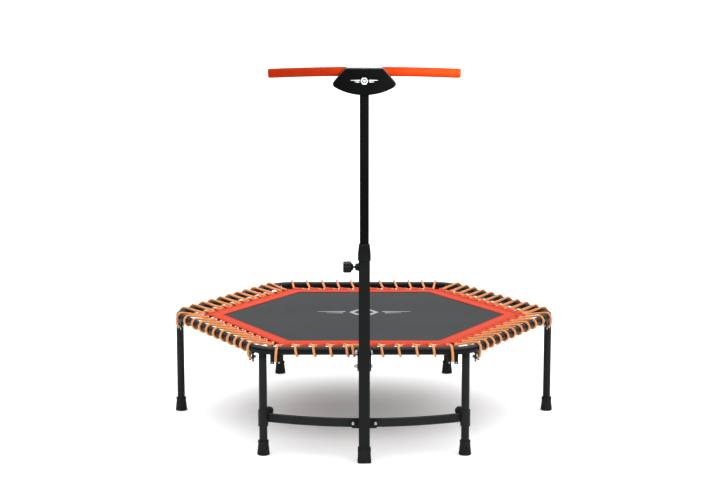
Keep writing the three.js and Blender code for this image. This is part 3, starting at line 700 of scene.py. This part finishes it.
def build_mat():
    """Hexagonal sheet that dips a little in the middle and ripples a little near the border."""
    radius = extent("mat").x / 2
    rings, steps, thickness, dip, ripples = 40, 24, 1.6 * MM, 2.2 * MM, 0.35 * MM
    levels = []
    for level in range(1, rings + 1):
        share = level / rings
        ring = []
        for k in range(6 * steps):
            p = hexagon_point(share, k, steps, radius)
            sag = -dip * (1 - share ** 2)
            ripple = ripples * math.sin(9 * math.atan2(p.y, p.x)) * max(0, share - 0.7) / 0.3
            ring.append((p.x, p.y, MAT_TOP + sag + ripple * (share < 0.98)))
        levels.append(ring)
    count = 6 * steps
    verts, faces = [], []
    for lift in (0, -thickness):
        start = len(verts)
        verts.append((0, 0, MAT_TOP - dip + lift))
        for ring in levels:
            verts += [(x, y, z + lift) for x, y, z in ring]
        for k in range(count):
            faces.append((start, start + 1 + k, start + 1 + (k + 1) % count))
        for level in range(rings - 1):
            low = start + 1 + level * count
            for k in range(count):
                j = (k + 1) % count
                faces.append((low + k, low + count + k, low + count + j, low + j))
    top, bottom = 1 + (rings - 1) * count, len(verts) // 2 + 1 + (rings - 1) * count
    for k in range(count):
        j = (k + 1) % count
        faces.append((top + k, bottom + k, bottom + j, top + j))
    piece = Build().add((verts, faces), MAT, Matrix.Translation(HEX)).piece(
        "woven_mat", "frame", "mat_fabric", 40, ["mat"])


def hexagon_ring(outer, inner, low, high):
    """Flat hexagonal ring."""
    rings = []
    for radius, z in ((outer, low), (outer, high), (inner, high), (inner, low)):
        rings.append([(x, y, z) for x, y in circle(radius, 6)])
    return stacked(rings, loop=True)


def emblem(b, material, matrix, size, reach, thick):
    """Plain mark: a hexagonal ring between two tapering bars."""
    b.add(hexagon_ring(size, size * 0.7, 0, thick), material, matrix)
    b.add(hexagon_ring(size * 0.36, size * 0.05, 0, thick), material, matrix)
    for side in (-1, 1):
        for row, (start, end) in enumerate(((1.25, 1.0), (1.4, 0.72))):
            y = size * (0.22 - 0.44 * row)
            half = size * 0.11
            outline = [(side * size * start, y - half), (side * reach * end, y - half * 0.3),
                       (side * reach * end, y + half * 0.3), (side * size * start, y + half)]
            if side < 0:
                outline.reverse()
            b.add(plate(outline, 0, thick), material, matrix)


def build_mat_print():
    b = Build()
    place = Matrix.Translation(HEX + Vector((0, 60 * MM, MAT_TOP - 2.1 * MM)))
    emblem(b, MAT_PRINT, place, 56 * MM, 195 * MM, 0.25 * MM)
    b.piece("mat_mark", "frame", "mat_fabric")


# ---- border: flat webbing, rope loops, stitching ----
def band_shell():
    """Strip across which the height follows its folded hems. Mitred ends. UVs along and across."""
    end_gap, waves = 0.3 * MM, 0.35 * MM
    across = [
        (BAND_INNER, 0.3), (BAND_INNER + 0.6 * MM, 1.2), (BAND_INNER + 3 * MM, 1.7),
        (BAND_INNER + 9 * MM, 1.7), (BAND_INNER + 11 * MM, 1.4), (BAND_OUTER - 16 * MM, 1.6),
        (BAND_OUTER - 13 * MM, 2.7), (BAND_OUTER - 3 * MM, 2.9), (BAND_OUTER, 2.0), (BAND_OUTER, 0.3),
    ]
    steps = 60
    rings, uvs = [], []
    for i in range(steps + 1):
        ring = []
        for n, rise in across:
            half = n * math.tan(STEP / 2) - end_gap
            x = half * (2 * i / steps - 1)
            share = (n - BAND_INNER) / (BAND_OUTER - BAND_INNER)
            wave = waves * math.sin(TAU * x / PITCH + 1.57) * share
            ring.append((x, -n, MAT_TOP + 0.3 * MM + rise * MM + (wave if rise > 1 else 0)))
            uvs.append((x, n))
        rings.append(ring)
    verts, faces = stacked(rings)
    return verts, faces, uvs


def loop_shell(x, length, squeeze):
    """Webbing folded round the rope, closed against the band's edge."""
    rise = (MAT_TOP - FRAME_Z) / MM
    edge, thickness = 509, 1.1
    outer = [(500, 3.5), (508, 4.6), (515, 6.0), (522, 7.0), (527, 6.3), (530.4, 3.2), (531.4, -2),
             (530, -7), (525, -9.6), (518, -8.6), (510.5, -4.2), (500, 0.2)]
    inner = [(500.5, 2.2), (508, 3.2), (515, 4.7), (521.5, 5.8), (526, 5.2), (529.1, 2.6), (530.1, -1.8),
             (528.9, -6.3), (524.8, -8.4), (518.6, -7.5), (511.4, -3.2), (500.5, 1.2)]
    stations = (-0.5, -0.47, -0.3, 0.0, 0.3, 0.47, 0.5)
    rings = []
    outline = outer + inner[::-1]
    for share in stations:
        flare = 0.5 * thickness * abs(2 * share) ** 6
        ring = []
        for k, (n, z) in enumerate(outline):
            lean = 5 * share - 1 if n > edge else 0  # the rope arrives low and leaves high
            lift = z + rise * (1 if n < edge else 0.3) + lean
            grow = flare * (1 if k < len(outer) else 0.6)
            spread = grow if z > 0 else -grow
            ring.append((x + share * length, -n * MM, FRAME_Z + (lift + spread) * MM * squeeze))
        rings.append(ring)
    count = len(outline)
    verts, faces = stacked(rings, cap=False)
    half = len(outer)
    for r, flip in ((0, True), (len(rings) - 1, False)):
        base = r * count
        for k in range(half - 1):
            quad = (base + k, base + k + 1, base + count - 2 - k, base + count - 1 - k)
            faces.append(tuple(reversed(quad)) if not flip else quad)
    around = [0.0]
    for a, b in zip(outline, outline[1:]):
        around.append(around[-1] + math.dist(a, b) * MM)
    uvs = [(share * length, a) for share in stations for a in around]
    return verts, faces, uvs


def stitch_row(b, matrix, n, z, half, tilt):
    """Short thread stitches along a line parallel to the side."""
    pitch = 3.4 * MM
    count = int(2 * half / pitch)
    for i in range(count):
        x = -half + (i + 0.5) * pitch
        ends = [(x - 1.15 * MM, -n - tilt, z - 0.12 * MM), (x - 0.5 * MM, -n - tilt * 0.5, z + 0.2 * MM),
                (x + 0.5 * MM, -n + tilt * 0.5, z + 0.2 * MM), (x + 1.15 * MM, -n + tilt, z - 0.12 * MM)]
        b.add(swept(ends, circle(0.28 * MM, 5)), THREAD, matrix)


def build_border(i, name):
    m = side_matrix(i)
    b = Build().add(band_shell(), BAND, m)
    half = BAND_INNER * math.tan(STEP / 2)
    # A thin dark red bead along the band's inner edge: painted shade where that edge falls in shadow.
    shade_edge_line = [(half * (k / 20 - 1), -BAND_INNER, MAT_TOP + 0.9 * MM) for k in range(41)]
    b.add(swept(shade_edge_line, circle(0.9 * MM, 10)), SHADE_EDGE, m)
    b.piece(f"band_{name}", "frame", "border_webbing", 50, [f"border_{name}"])
    b = Build()
    for x in loop_places(name):
        length = (31.5 + random.uniform(-1.2, 1.2)) * MM
        b.add(loop_shell(x + random.uniform(-1, 1) * MM, length, random.uniform(0.97, 1.02)), LOOP, m)
    b.piece(f"rope_loops_{name}", "frame", "border_webbing", 60)
    b = Build()
    top = MAT_TOP + 0.3 * MM
    for n, rise, tilt in ((BAND_INNER + 4 * MM, 1.7, 0.0), (BAND_INNER + 8 * MM, 1.7, 0.0),
                          (BAND_OUTER - 11 * MM, 2.75, 0.7 * MM), (BAND_OUTER - 5 * MM, 2.85, 0.7 * MM)):
        stitch_row(b, m, n, top + rise * MM, n * math.tan(STEP / 2) - 5 * MM, tilt)
    b.piece(f"stitching_{name}", "frame", "border_webbing", 60)


# ---- ropes ----
def turn_points(x, slant):
    """Half turn round the outside of the tube, from above it to below, leaning along it."""
    steps = 6
    points = []
    for i in range(steps + 1):
        share = 2 * i / steps - 1
        angle = -math.radians(103) * share
        points.append((x + slant * share, -APOTHEM - ROPE_WRAP_R * math.cos(angle),
                       FRAME_Z + ROPE_WRAP_R * math.sin(angle)))
    return points


def hook_points(side):
    """From the clip behind a hook plate, through its slot, up the outside of the tube and over it."""
    x = side * HOOK_MIDDLE
    y = -APOTHEM
    out = y - ROPE_WRAP_R
    low = FRAME_Z - TUBE_R
    lean = -side * MM
    return [
        (x, y + 7 * MM, low - 17 * MM), (x, y - 2 * MM, low - 20 * MM), (x, y - 9 * MM, low - 19.5 * MM),
        (x, y - 15 * MM, low - 14 * MM), (x + 0.6 * lean, out, low - 4 * MM), (x + 2 * lean, out, FRAME_Z),
        (x + 4 * lean, y - ROPE_WRAP_R * 0.71, FRAME_Z + ROPE_WRAP_R * 0.71),
        (x + 6 * lean, y + ROPE_WRAP_R * 0.23, FRAME_Z + ROPE_WRAP_R * 0.97),
    ]


def rope_route(name):
    points = hook_points(-1)
    inner = -LOOP_APOTHEM
    reach = FRONT_REACH if "front" in name else BACK_REACH
    places = loop_places(name)
    for k, loop in enumerate(places):
        before = loop - places[k - 1] if k else PITCH
        after = places[k + 1] - loop if k < WRAPS else PITCH
        arrive = loop - min(before / 2 - 4 * MM, reach)
        leave = loop + min(after / 2 - 4 * MM, reach)
        jitter = random.uniform(-1.2, 1.2) * MM
        drop = -2 * MM if k else 1 * MM  # after the first, the run that arrives comes from under the tube
        points += [(arrive, inner - 10 * MM, FRAME_Z + drop),
                   (arrive + 5 * MM, inner - 1.5 * MM, FRAME_Z + 0.1 * drop),
                   (loop - 12 * MM + jitter, inner, FRAME_Z),
                   (loop + 12 * MM + jitter, inner, FRAME_Z + 1 * MM),
                   (leave - 5 * MM, inner - 1.5 * MM, FRAME_Z + 2 * MM),
                   (leave, inner - 10 * MM, FRAME_Z + 3.5 * MM)]
        if k < WRAPS:
            shift = random.uniform(-1.6, 1.6) * MM
            if name == "front":
                shift = FRONT_SHIFTS[k]
            points += turn_points((loop + places[k + 1]) / 2 + shift, LEANS.get(name, 5 * MM))
    return points + hook_points(1)[::-1]


def build_rope(i, name):
    path = smooth_path(rope_route(name), 5)
    m = side_matrix(i)
    b = Build().add(swept(path, circle(ROPE_R, 14)), ROPE, m)
    b.piece(f"rope_{name}", "frame", "bungee_cord", 60, [f"bungee_{name}"])
    b = Build()
    for end, nearer in ((path[0], path[3]), (path[-1], path[-4])):
        away = (end - nearer).normalized()
        clip = [end - away * 4 * MM, end - away * 3.4 * MM, end - away * 1 * MM, end + away * 1 * MM,
                end + away * 3.4 * MM, end + away * 4 * MM]
        b.add(swept(clip, circle(5.6 * MM, 20), [0.9, 1, 0.93, 0.93, 1, 0.9]), ZINC, m)
    b.piece(f"rope_clips_{name}", "frame", "zinc_steel", 40)


for number, side in enumerate(SIDES):
    build_border(number, side)
    build_rope(number, side)
build_mat()
build_mat_print()


# ---- more shapes for the post and the bar ----
def square_rings(profile, corner):
    """Rounded-square rings from (half width, height) pairs."""
    rings = []
    for half, height in profile:
        outline = rounded_rectangle(half, half, max(min(corner, half - 0.5 * MM), 0.5 * MM))
        rings.append([(x, y, height) for x, y in outline])
    return rings


def hexagonal(radius, low, high):
    """Nut or bolt head along Z."""
    chamfer = 0.9 * MM
    face = radius - chamfer
    profile = [(face, low), (radius, low + chamfer), (radius, high - chamfer), (face, high)]
    return stacked([[(x, y, z) for x, y in circle(r, 6)] for r, z in profile])


def threaded(radius, low, high, pitch=1.25 * MM):
    """Rod along Z with ridges for a thread."""
    profile = [(0, low), (radius * 0.8, low)]
    count = int((high - low) / pitch)
    for i in range(count):
        z = low + (high - low) * (i + 0.25) / count
        profile += [(radius * 0.88, z), (radius, z + pitch * 0.5)]
    return turned(profile + [(radius * 0.85, high), (0, high)], 20)


def slab(low, high, edge=0.6 * MM, corner=1.5 * MM):
    """Box between two corners with rounded edges."""
    (x0, y0, z0), (x1, y1, z1) = low, high
    outline = [(x + (x0 + x1) / 2, y + (y0 + y1) / 2)
               for x, y in rounded_rectangle((x1 - x0) / 2, (y1 - y0) / 2, corner)]
    return plate(outline, z0, z1, edge)


def bored(shell, drills):
    """The shell less round holes. A drill is a matrix whose Z is the hole's axis, a radius and a length."""
    def temporary(verts, faces):
        mesh = bpy.data.meshes.new("temporary")
        mesh.from_pydata([tuple(v) for v in verts], [], faces)
        outward(mesh)
        return placed("temporary", mesh)

    target = temporary(shell[0], shell[1])
    cutters = []
    for matrix, radius, length in drills:
        half = length / 2
        verts, faces = turned([(0, -half), (radius, -half), (radius, half), (0, half)], 24)
        cutter = temporary([matrix @ Vector(v) for v in verts], faces)
        cutters.append(cutter)
        modifier = target.modifiers.new("hole", "BOOLEAN")
        modifier.object = cutter
        modifier.operation = "DIFFERENCE"
        modifier.solver = "EXACT"
    mesh = target.evaluated_get(bpy.context.evaluated_depsgraph_get()).to_mesh()
    result = [v.co.copy() for v in mesh.vertices], [tuple(p.vertices) for p in mesh.polygons]
    for used in (target, *cutters):
        bpy.data.objects.remove(used)
    return result


# ---- handle post ----
OUTER_HALF = 18.75 * MM
INNER_HALF = 15 * MM
BOLT_Y = 34 * MM
BOLT_HEIGHTS = (321 * MM, 368 * MM)
SCREW_X = 37 * MM
EAR_BACK = OUTER_HALF + 2.6 * MM
POST_M = Matrix.Translation(POST)


def build_outer_post():
    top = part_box("outer_post")[1].z
    tube = square_rings([
        (OUTER_HALF, 6.3 * MM), (OUTER_HALF, top - 1 * MM), (OUTER_HALF - 0.5 * MM, top),
        (OUTER_HALF - 1.8 * MM, top), (OUTER_HALF - 1.8 * MM, 6.3 * MM)], 4 * MM)
    hole = (along_x(-OUTER_HALF, 0, KNOB_Z), 4.3 * MM, 12 * MM)
    b = Build().add(bored(stacked(tube, loop=True), [hole]), POST_PAINT, POST_M)
    lug = slab((-OUTER_HALF, 17.4 * MM, 311 * MM), (OUTER_HALF, 44 * MM, 375 * MM), 0.8 * MM, 2 * MM)
    b.add(lug, POST_PAINT, POST_M)
    ear = [(x, z + BRACE_Z) for x, z in rounded_rectangle(44 * MM, 17 * MM, 7 * MM)]
    b.add(plate(ear, -EAR_BACK, -17.4 * MM, 0.6 * MM), POST_PAINT, POST_M @ STAND)
    seams = ((0.6 * MM, 17.2 * MM, BRACE_Z - 16 * MM, BRACE_Z + 16 * MM),
             (0.3 * MM, 17 * MM, 313 * MM, 373 * MM))
    for side in (-1, 1):
        for inset, y, low, high in seams:
            bead = [(side * (OUTER_HALF - inset), y, low + (high - low) * k / 16) for k in range(17)]
            b.add(swept(bead, circle(1.7 * MM, 10), [0.7, *rippled(15), 0.7]), POST_PAINT, POST_M)
    b.piece("post_tube", "frame", "post_paint", 35, ["outer_post"])


def build_post_plastics():
    foot = square_rings(mm([
        (21.5, 0), (22.9, 1.4), (23, 7), (22.5, 8), (22.4, 14), (21.9, 27), (21.5, 38), (22.1, 39.5),
        (22.1, 46.8), (21.1, 48), (19.3, 48), (19.05, 47), (19.05, 6)]), 5.5 * MM)
    Build().add(stacked(foot), RUBBER, POST_M).piece("post_foot_rubber", "frame", "rubber", 40, ["post_foot"])
    collar = square_rings(mm([
        (19.05, 686), (19.9, 686), (21, 687.8), (21.4, 692), (21.4, 704), (21, 711), (20, 720), (18.9, 729),
        (18.6, 734), (17.4, 738.4), (16.4, 740), (15.5, 740), (15.3, 739), (15.3, 700.3), (19.05, 700.3)]),
        4.6 * MM)
    Build().add(stacked(collar, loop=True), PLASTIC, POST_M).piece(
        "collar", "frame", "black_plastic", 40, ["post_collar"])


def build_inner_post():
    low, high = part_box("inner_post")[0].z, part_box("inner_post")[1].z
    wall = INNER_HALF - 1.5 * MM
    tube = square_rings([(INNER_HALF, low), (INNER_HALF, high), (wall, high), (wall, low)], 3.6 * MM)
    holes = [(along_x(-INNER_HALF, 0, KNOB_Z + 95 * MM * k), 4.5 * MM, 8 * MM) for k in (-2, -1, 0, 1, 2)]
    Build().add(bored(stacked(tube, loop=True), holes), INNER_PAINT, POST_M).piece(
        "sliding_post", "handle", "post_paint", 35, ["inner_post"])


def knob_lobes(angle, height):
    """Eight finger hollows round the knob's head, with fine ribs on the lobes between them."""
    if height > -42.5 * MM:
        return 1
    return 1.01 - 0.04 * (1 - math.cos(8 * angle)) + 0.006 * math.cos(48 * angle)


def build_lock():
    at = POST_M @ along_x(0, 0, KNOB_Z)
    boss = mm([(4.3, -30.6), (7.5, -30.6), (9.6, -29.6), (11.4, -27.4), (12.2, -24.6), (12.2, -19.05),
               (4.3, -19.05)])
    b = Build().add(turned(boss, 40), POST_PAINT, at)
    weld = [(x, y, -OUTER_HALF - 0.8 * MM) for x, y in circle(12 * MM, 36)]
    weld.append(weld[0])
    b.add(swept(weld, circle(1.5 * MM, 10), rippled(37, 0.08)), POST_PAINT, at)
    b.piece("boss", "frame", "post_paint", 40, ["lock_boss"])
    pin = mm([(0, -60), (4, -60), (4, -16.8), (3.2, -15.6), (0, -15.6)])
    Build().add(turned(pin, 28), PIN_STEEL, at).piece("index_pin", "pin", "zinc_steel", 35, ["lock_pin"])
    head = mm([(0, -68.6), (12.4, -68.8), (13.2, -69.4), (15, -70), (17.2, -69.4), (18.6, -67.6), (19, -64),
               (19, -52), (18.8, -45), (17.8, -43), (13.6, -42), (10.2, -38.5), (9, -36), (0, -36)])
    b = Build().add(turned(head, 192, knob_lobes), PLASTIC, at)
    b.piece("knob", "lock_knob", "black_plastic", 40, ["lock_knob"])


def build_bracket():
    """Two cheeks and a web that hold the post's lug against the front tube."""
    b = Build()
    tube_y = HEX.y - APOTHEM - POST.y
    low, high = 307 * MM, 379 * MM
    notch, seam, corner = TUBE_R + 0.3 * MM, TUBE_R + 0.8 * MM, 7 * MM
    over = [math.pi * (1.5 - k / 14) for k in range(15)]  # angles over the near half of the frame tube
    outline = []
    for z, start in ((high - corner, 0.5), (low + corner, 1.0)):
        for k in range(7):
            angle = math.pi * (start + k / 12)
            outline.append((16 * MM + corner * math.cos(angle), z + corner * math.sin(angle)))
    outline.append((tube_y - 1 * MM, low))
    outline += [(tube_y + notch * math.cos(angle), FRAME_Z + notch * math.sin(angle)) for angle in over]
    outline.append((tube_y - 1 * MM, high))
    # stands the flat outline up, facing along X
    lie = Matrix(((0, 0, 1, 0), (1, 0, 0, 0), (0, 1, 0, 0), (0, 0, 0, 1)))
    for side in (-1, 1):
        near, far = sorted((side * 19.25 * MM, side * 23.25 * MM))
        b.add(plate(outline, near, far, 0.5 * MM), POST_PAINT, POST_M @ lie)
    b.add(slab((-20 * MM, 47 * MM, low), (20 * MM, 51 * MM, high), 0.5 * MM, 1 * MM), POST_PAINT, POST_M)
    for side in (-1, 1):
        ring = [(side * 23.6 * MM, tube_y + seam * math.cos(angle), FRAME_Z + seam * math.sin(angle))
                for angle in over]
        b.add(swept(ring, circle(1.5 * MM, 10), rippled(15)), POST_PAINT, POST_M)
    b.piece("bracket", "frame", "post_paint", 35, ["post_bracket"])


def build_bracket_bolts():
    face, washer = 23.55 * MM, 24.45 * MM
    for name, z in zip(("lower", "upper"), BOLT_HEIGHTS):
        at = POST_M @ along_x(0, BOLT_Y, z)
        b = Build()
        b.add(threaded(4 * MM, -35 * MM, -face), ZINC, at)
        b.add(turned([(0, -face), (4 * MM, -face), (4 * MM, face), (0, face)], 20), ZINC, at)
        b.add(turned([(0, -washer), (7.3 * MM, -washer), (7.4 * MM, -face), (0, -face)], 30), ZINC, at)
        b.add(hexagonal(7.3 * MM, -washer - 6 * MM, -washer), ZINC, at)
        head = mm([(0, 0), (7, 0), (7, 1), (6.3, 3), (4.6, 4.6), (2.4, 5.3), (0, 5.5)])
        b.add(turned([(r, z + face) for r, z in head], 30), ZINC, at)
        b.piece(f"bolt_{name}", "frame", "zinc_steel", 35, [f"bracket_bolt_{name}"])


# ---- T-bar ----
BAR_M = Matrix.Translation(POST + Vector((0, 0, BAR_Z)))
BAR_SAG = 6.5 * MM
GRIP_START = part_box("grip_right")[0].x
GRIP_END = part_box("grip_right")[1].x
GRIP_R = 15.3 * MM
COVER_FRONT = POST.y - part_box("cover_front")[0].y
COVER_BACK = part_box("cover_back")[1].y - POST.y


def bar_point(x):
    return Vector((x, 0, -BAR_SAG * (x / GRIP_END) ** 2))


def build_bar():
    path = [bar_point(306 * MM * (k / 20 - 1)) for k in range(41)]
    Build().add(swept(path, circle(11 * MM, 28)), PAINT, BAR_M).piece(
        "cross_tube", "handle", "frame_paint", 35, ["crossbar"])
    for name, side in HANDS:
        path, sizes = [], []
        for k in range(49):
            x = GRIP_START + (GRIP_END - 0.6 * MM - GRIP_START) * k / 48
            path.append(bar_point(side * x))
            end = max(0, x - (GRIP_END - 5 * MM)) / (5 * MM)
            sizes.append(0.994 + 0.006 * math.sin(k * 2.1) - 0.13 * end ** 2.4)
        for inset, size in ((0.35, 0.78), (0.1, 0.68)):
            path.append(bar_point(side * (GRIP_END - inset * MM)))
            sizes.append(size)
        Build().add(swept(path, circle(GRIP_R, 40), sizes), FOAM, BAR_M).piece(
            f"foam_grip_{name}", "handle", "grip_foam", 50, [f"grip_{name}"])


def curve(a, b, c, steps=8):
    """Points of a quadratic curve from a to c, without the last one."""
    made = []
    for k in range(steps):
        t = k / steps
        made.append(tuple((1 - t) ** 2 * p + 2 * t * (1 - t) * q + t * t * r for p, q, r in zip(a, b, c)))
    return made


def cover_outline():
    """Flat top, slanting sides, curved bottom: X and Z from the bar's middle, anticlockwise."""
    half = curve((0, -76), (55, -75), (96, -50), 14) + curve((96, -50), (107, -42), (98, -31), 8)
    half += [(98, -31), (81, -11)] + curve((64, 8), (61, 12), (56, 12), 8) + [(56, 12)]
    full = half + [(-x, z) for x, z in reversed(half[1:])]
    return [(x * MM, z * MM) for x, z in full]


def pillow(outline, low, high, edge, steps=5):
    """Plate with a quarter-round edge on its high side and a fine one on its low side."""
    rings = [(inset_outline(outline, 0.5 * MM), low), (outline, low + 0.5 * MM)]
    for k in range(steps + 1):
        angle = math.pi / 2 * k / steps
        rings.append((inset_outline(outline, edge * (1 - math.cos(angle)) + 1e-6),
                      high - edge + edge * math.sin(angle)))
    return stacked([[(x, y, z) for x, y in ring] for ring, z in rings])


def build_cover():
    outline = cover_outline()
    back = Matrix.Rotation(math.pi, 4, "Z") @ STAND
    b = Build().add(pillow(outline, 0.2 * MM, COVER_FRONT, 5 * MM), COVER, BAR_M @ STAND)
    b.piece("cover_shell_front", "handle", "cover_plastic", 40, ["cover_front"])
    b = Build().add(pillow(outline, 0.2 * MM, COVER_BACK, 5 * MM), COVER, BAR_M @ back)
    for x, z in ((-74, -40), (74, -40), (0, -58)):
        at = Matrix.Translation((x * MM, z * MM, COVER_BACK - 0.2 * MM))
        b.add(dome(3.6 * MM, 1.6 * MM), ZINC, BAR_M @ back @ at)
    b.piece("cover_shell_back", "handle", "cover_plastic", 40, ["cover_back"])
    b = Build()
    place = BAR_M @ STAND @ Matrix.Translation((0, -30 * MM, COVER_FRONT - 0.05 * MM))
    emblem(b, COVER_PRINT, place, 12 * MM, 44 * MM, 0.25 * MM)
    b.piece("cover_mark", "handle", "cover_plastic")


# ---- brace ----
BRACE_BOW_R = 833 * MM
BRACE_FRONT_Y = HEX.y - 655.3 * MM
LEG_X = LEG_CENTRE / 2
LEG_Y = HEX.y - LEG_CENTRE * math.cos(STEP / 2)


def brace_point(x):
    drop = BRACE_BOW_R - math.sqrt(BRACE_BOW_R ** 2 - x ** 2)
    return Vector((x, BRACE_FRONT_Y + drop, BRACE_Z))


def build_brace():
    half = 329 * MM
    path = [brace_point(half * (k / 40 - 1)) for k in range(81)]
    b = Build().add(swept(path, rounded_rectangle(15.5 * MM, 7 * MM, 6.2 * MM, 6)), PAINT)
    for side in (-1, 1):
        centre = brace_point(side * 326.5 * MM)
        run = (brace_point(side * 327 * MM) - brace_point(side * 320 * MM)).normalized()
        across = run.cross(Vector((0, 0, 1)))
        outline = rounded_rectangle(15.6 * MM, 7.1 * MM, 6.2 * MM, 6)
        weld = [centre + Vector((0, 0, z)) + across * y for z, y in outline]
        weld.append(weld[0])
        b.add(swept(weld, circle(2 * MM, 10), rippled(len(weld))), PAINT)
    b.piece("brace_tube", "frame", "frame_paint", 35, ["brace"])
    for name, side in HANDS:
        at = Matrix.Translation((side * SCREW_X, POST.y, BRACE_Z)) @ along_y()
        head = mm([(0, 12.4), (2.2, 12.5), (4.4, 13.1), (5.9, 14.6), (6.2, 16.2), (6.2, 17.2), (3.5, 17.2),
                   (3.5, 36), (0, 36)])
        b = Build().add(turned(head, 30), ZINC, at)
        b.add(hexagonal(6 * MM, 38.8 * MM, 43.7 * MM), ZINC, at)
        b.add(threaded(3.5 * MM, 36 * MM, 45.7 * MM, 1 * MM), ZINC, at)
        b.piece(f"screw_{name}", "frame", "zinc_steel", 35, [f"brace_screw_{name}"])


def clamp_ribs(angle, height):
    """Fine ribs round a clamp knob's rim."""
    return 1 + (0.02 * math.cos(24 * angle) if 21 * MM < height < 31 * MM else 0)


def build_sleeves():
    for name, side in HANDS:
        leg = Matrix.Translation((side * LEG_X, LEG_Y, 0))
        ring = mm([(14.1, 100), (16.6, 100), (17.2, 100.7), (17.2, 156.3), (16.6, 157), (14.1, 157)])
        b = Build().add(turned(ring, 48), PAINT, leg)
        x0, x1 = sorted((-side * 3 * MM, -side * 31 * MM))
        b.add(slab((x0, 10.4 * MM, 128 * MM), (x1, 16.4 * MM, 158 * MM), 0.6 * MM, 2 * MM), PAINT, leg)
        b.piece(f"sleeve_{name}", "frame", "frame_paint", 35, [f"brace_sleeve_{name}"])
        knob = mm([(0, 11.2), (4, 11.2), (4, 18.4), (9, 18.4), (14, 21.6), (15, 23), (15, 29.4), (14, 31.4),
                   (11, 32.9), (0, 32.9)])
        at = leg @ Matrix.Translation((-side * 19 * MM, 0, 146 * MM)) @ along_y()
        b = Build().add(turned(knob, 96, clamp_ribs), PLASTIC, at)
        b.piece(f"clamp_knob_{name}", f"{name}_clamp_knob", "black_plastic", 35, [f"sleeve_knob_{name}"])


build_outer_post()
build_post_plastics()
build_inner_post()
build_lock()
build_bracket()
build_bracket_bolts()
build_bar()
build_cover()
build_brace()
build_sleeves()


# ---- floor and lights ----
def build_stage():
    s = Shader("floor_white", 0.9, specular=0.1)
    tone = s.ramp(s.noise(1.5, 3), [(0.3, (0.925, 0.955, 0.96)), (0.7, (0.945, 0.975, 0.98))])
    s.link(tone, "Base Color")
    s.bsdf.inputs["Emission Color"].default_value = (1, 1, 1, 1)
    s.bsdf.inputs["Emission Strength"].default_value = 0.17
    size = 250
    mesh = bpy.data.meshes.new("floor")
    corners = [(-size, -size, 0), (size, -size, 0), (size, size, 0), (-size, size, 0)]
    mesh.from_pydata(corners, [], [(0, 1, 2, 3)])
    mesh.materials.append(s.material)
    placed("floor", mesh)


def add_light(name, place, aim, size, power, spread):
    data = bpy.data.lights.new(name, "AREA")
    data.spread = math.radians(spread)
    data.shape = "RECTANGLE"
    data.size, data.size_y = size
    data.energy = power
    light = placed(name, data)
    light.location = place
    light.rotation_euler = (Vector(aim) - Vector(place)).to_track_quat("-Z", "Y").to_euler()


def add_sky(angle, strength, lean):
    """Very soft light from above, the same everywhere on the floor. lean tips it in X and Y."""
    data = bpy.data.lights.new("sky", "SUN")
    data.angle = math.radians(angle)
    data.energy = strength
    light = placed("sky", data)
    light.location = (0, 0, 5)
    light.rotation_euler = Vector((lean[0], lean[1], 1)).to_track_quat("Z", "Y").to_euler()


def build_lights():
    world = bpy.data.worlds.new("studio")
    world.use_nodes = True
    background = world.node_tree.nodes["Background"]
    background.inputs["Color"].default_value = (0.87, 0.98, 1, 1)
    background.inputs["Strength"].default_value = 0.345
    bpy.context.scene.world = world
    add_sky(108, 4.2, (0.10, -0.04))
    add_light("key", (1.1, -1.7, 1.75), (0.26, POST.y, BAR_Z), (0.2, 0.2), 2.3, 24)
    scene = bpy.context.scene
    scene.view_settings.view_transform = "Standard"
    scene.view_settings.look = "None"


build_stage()
build_lights()
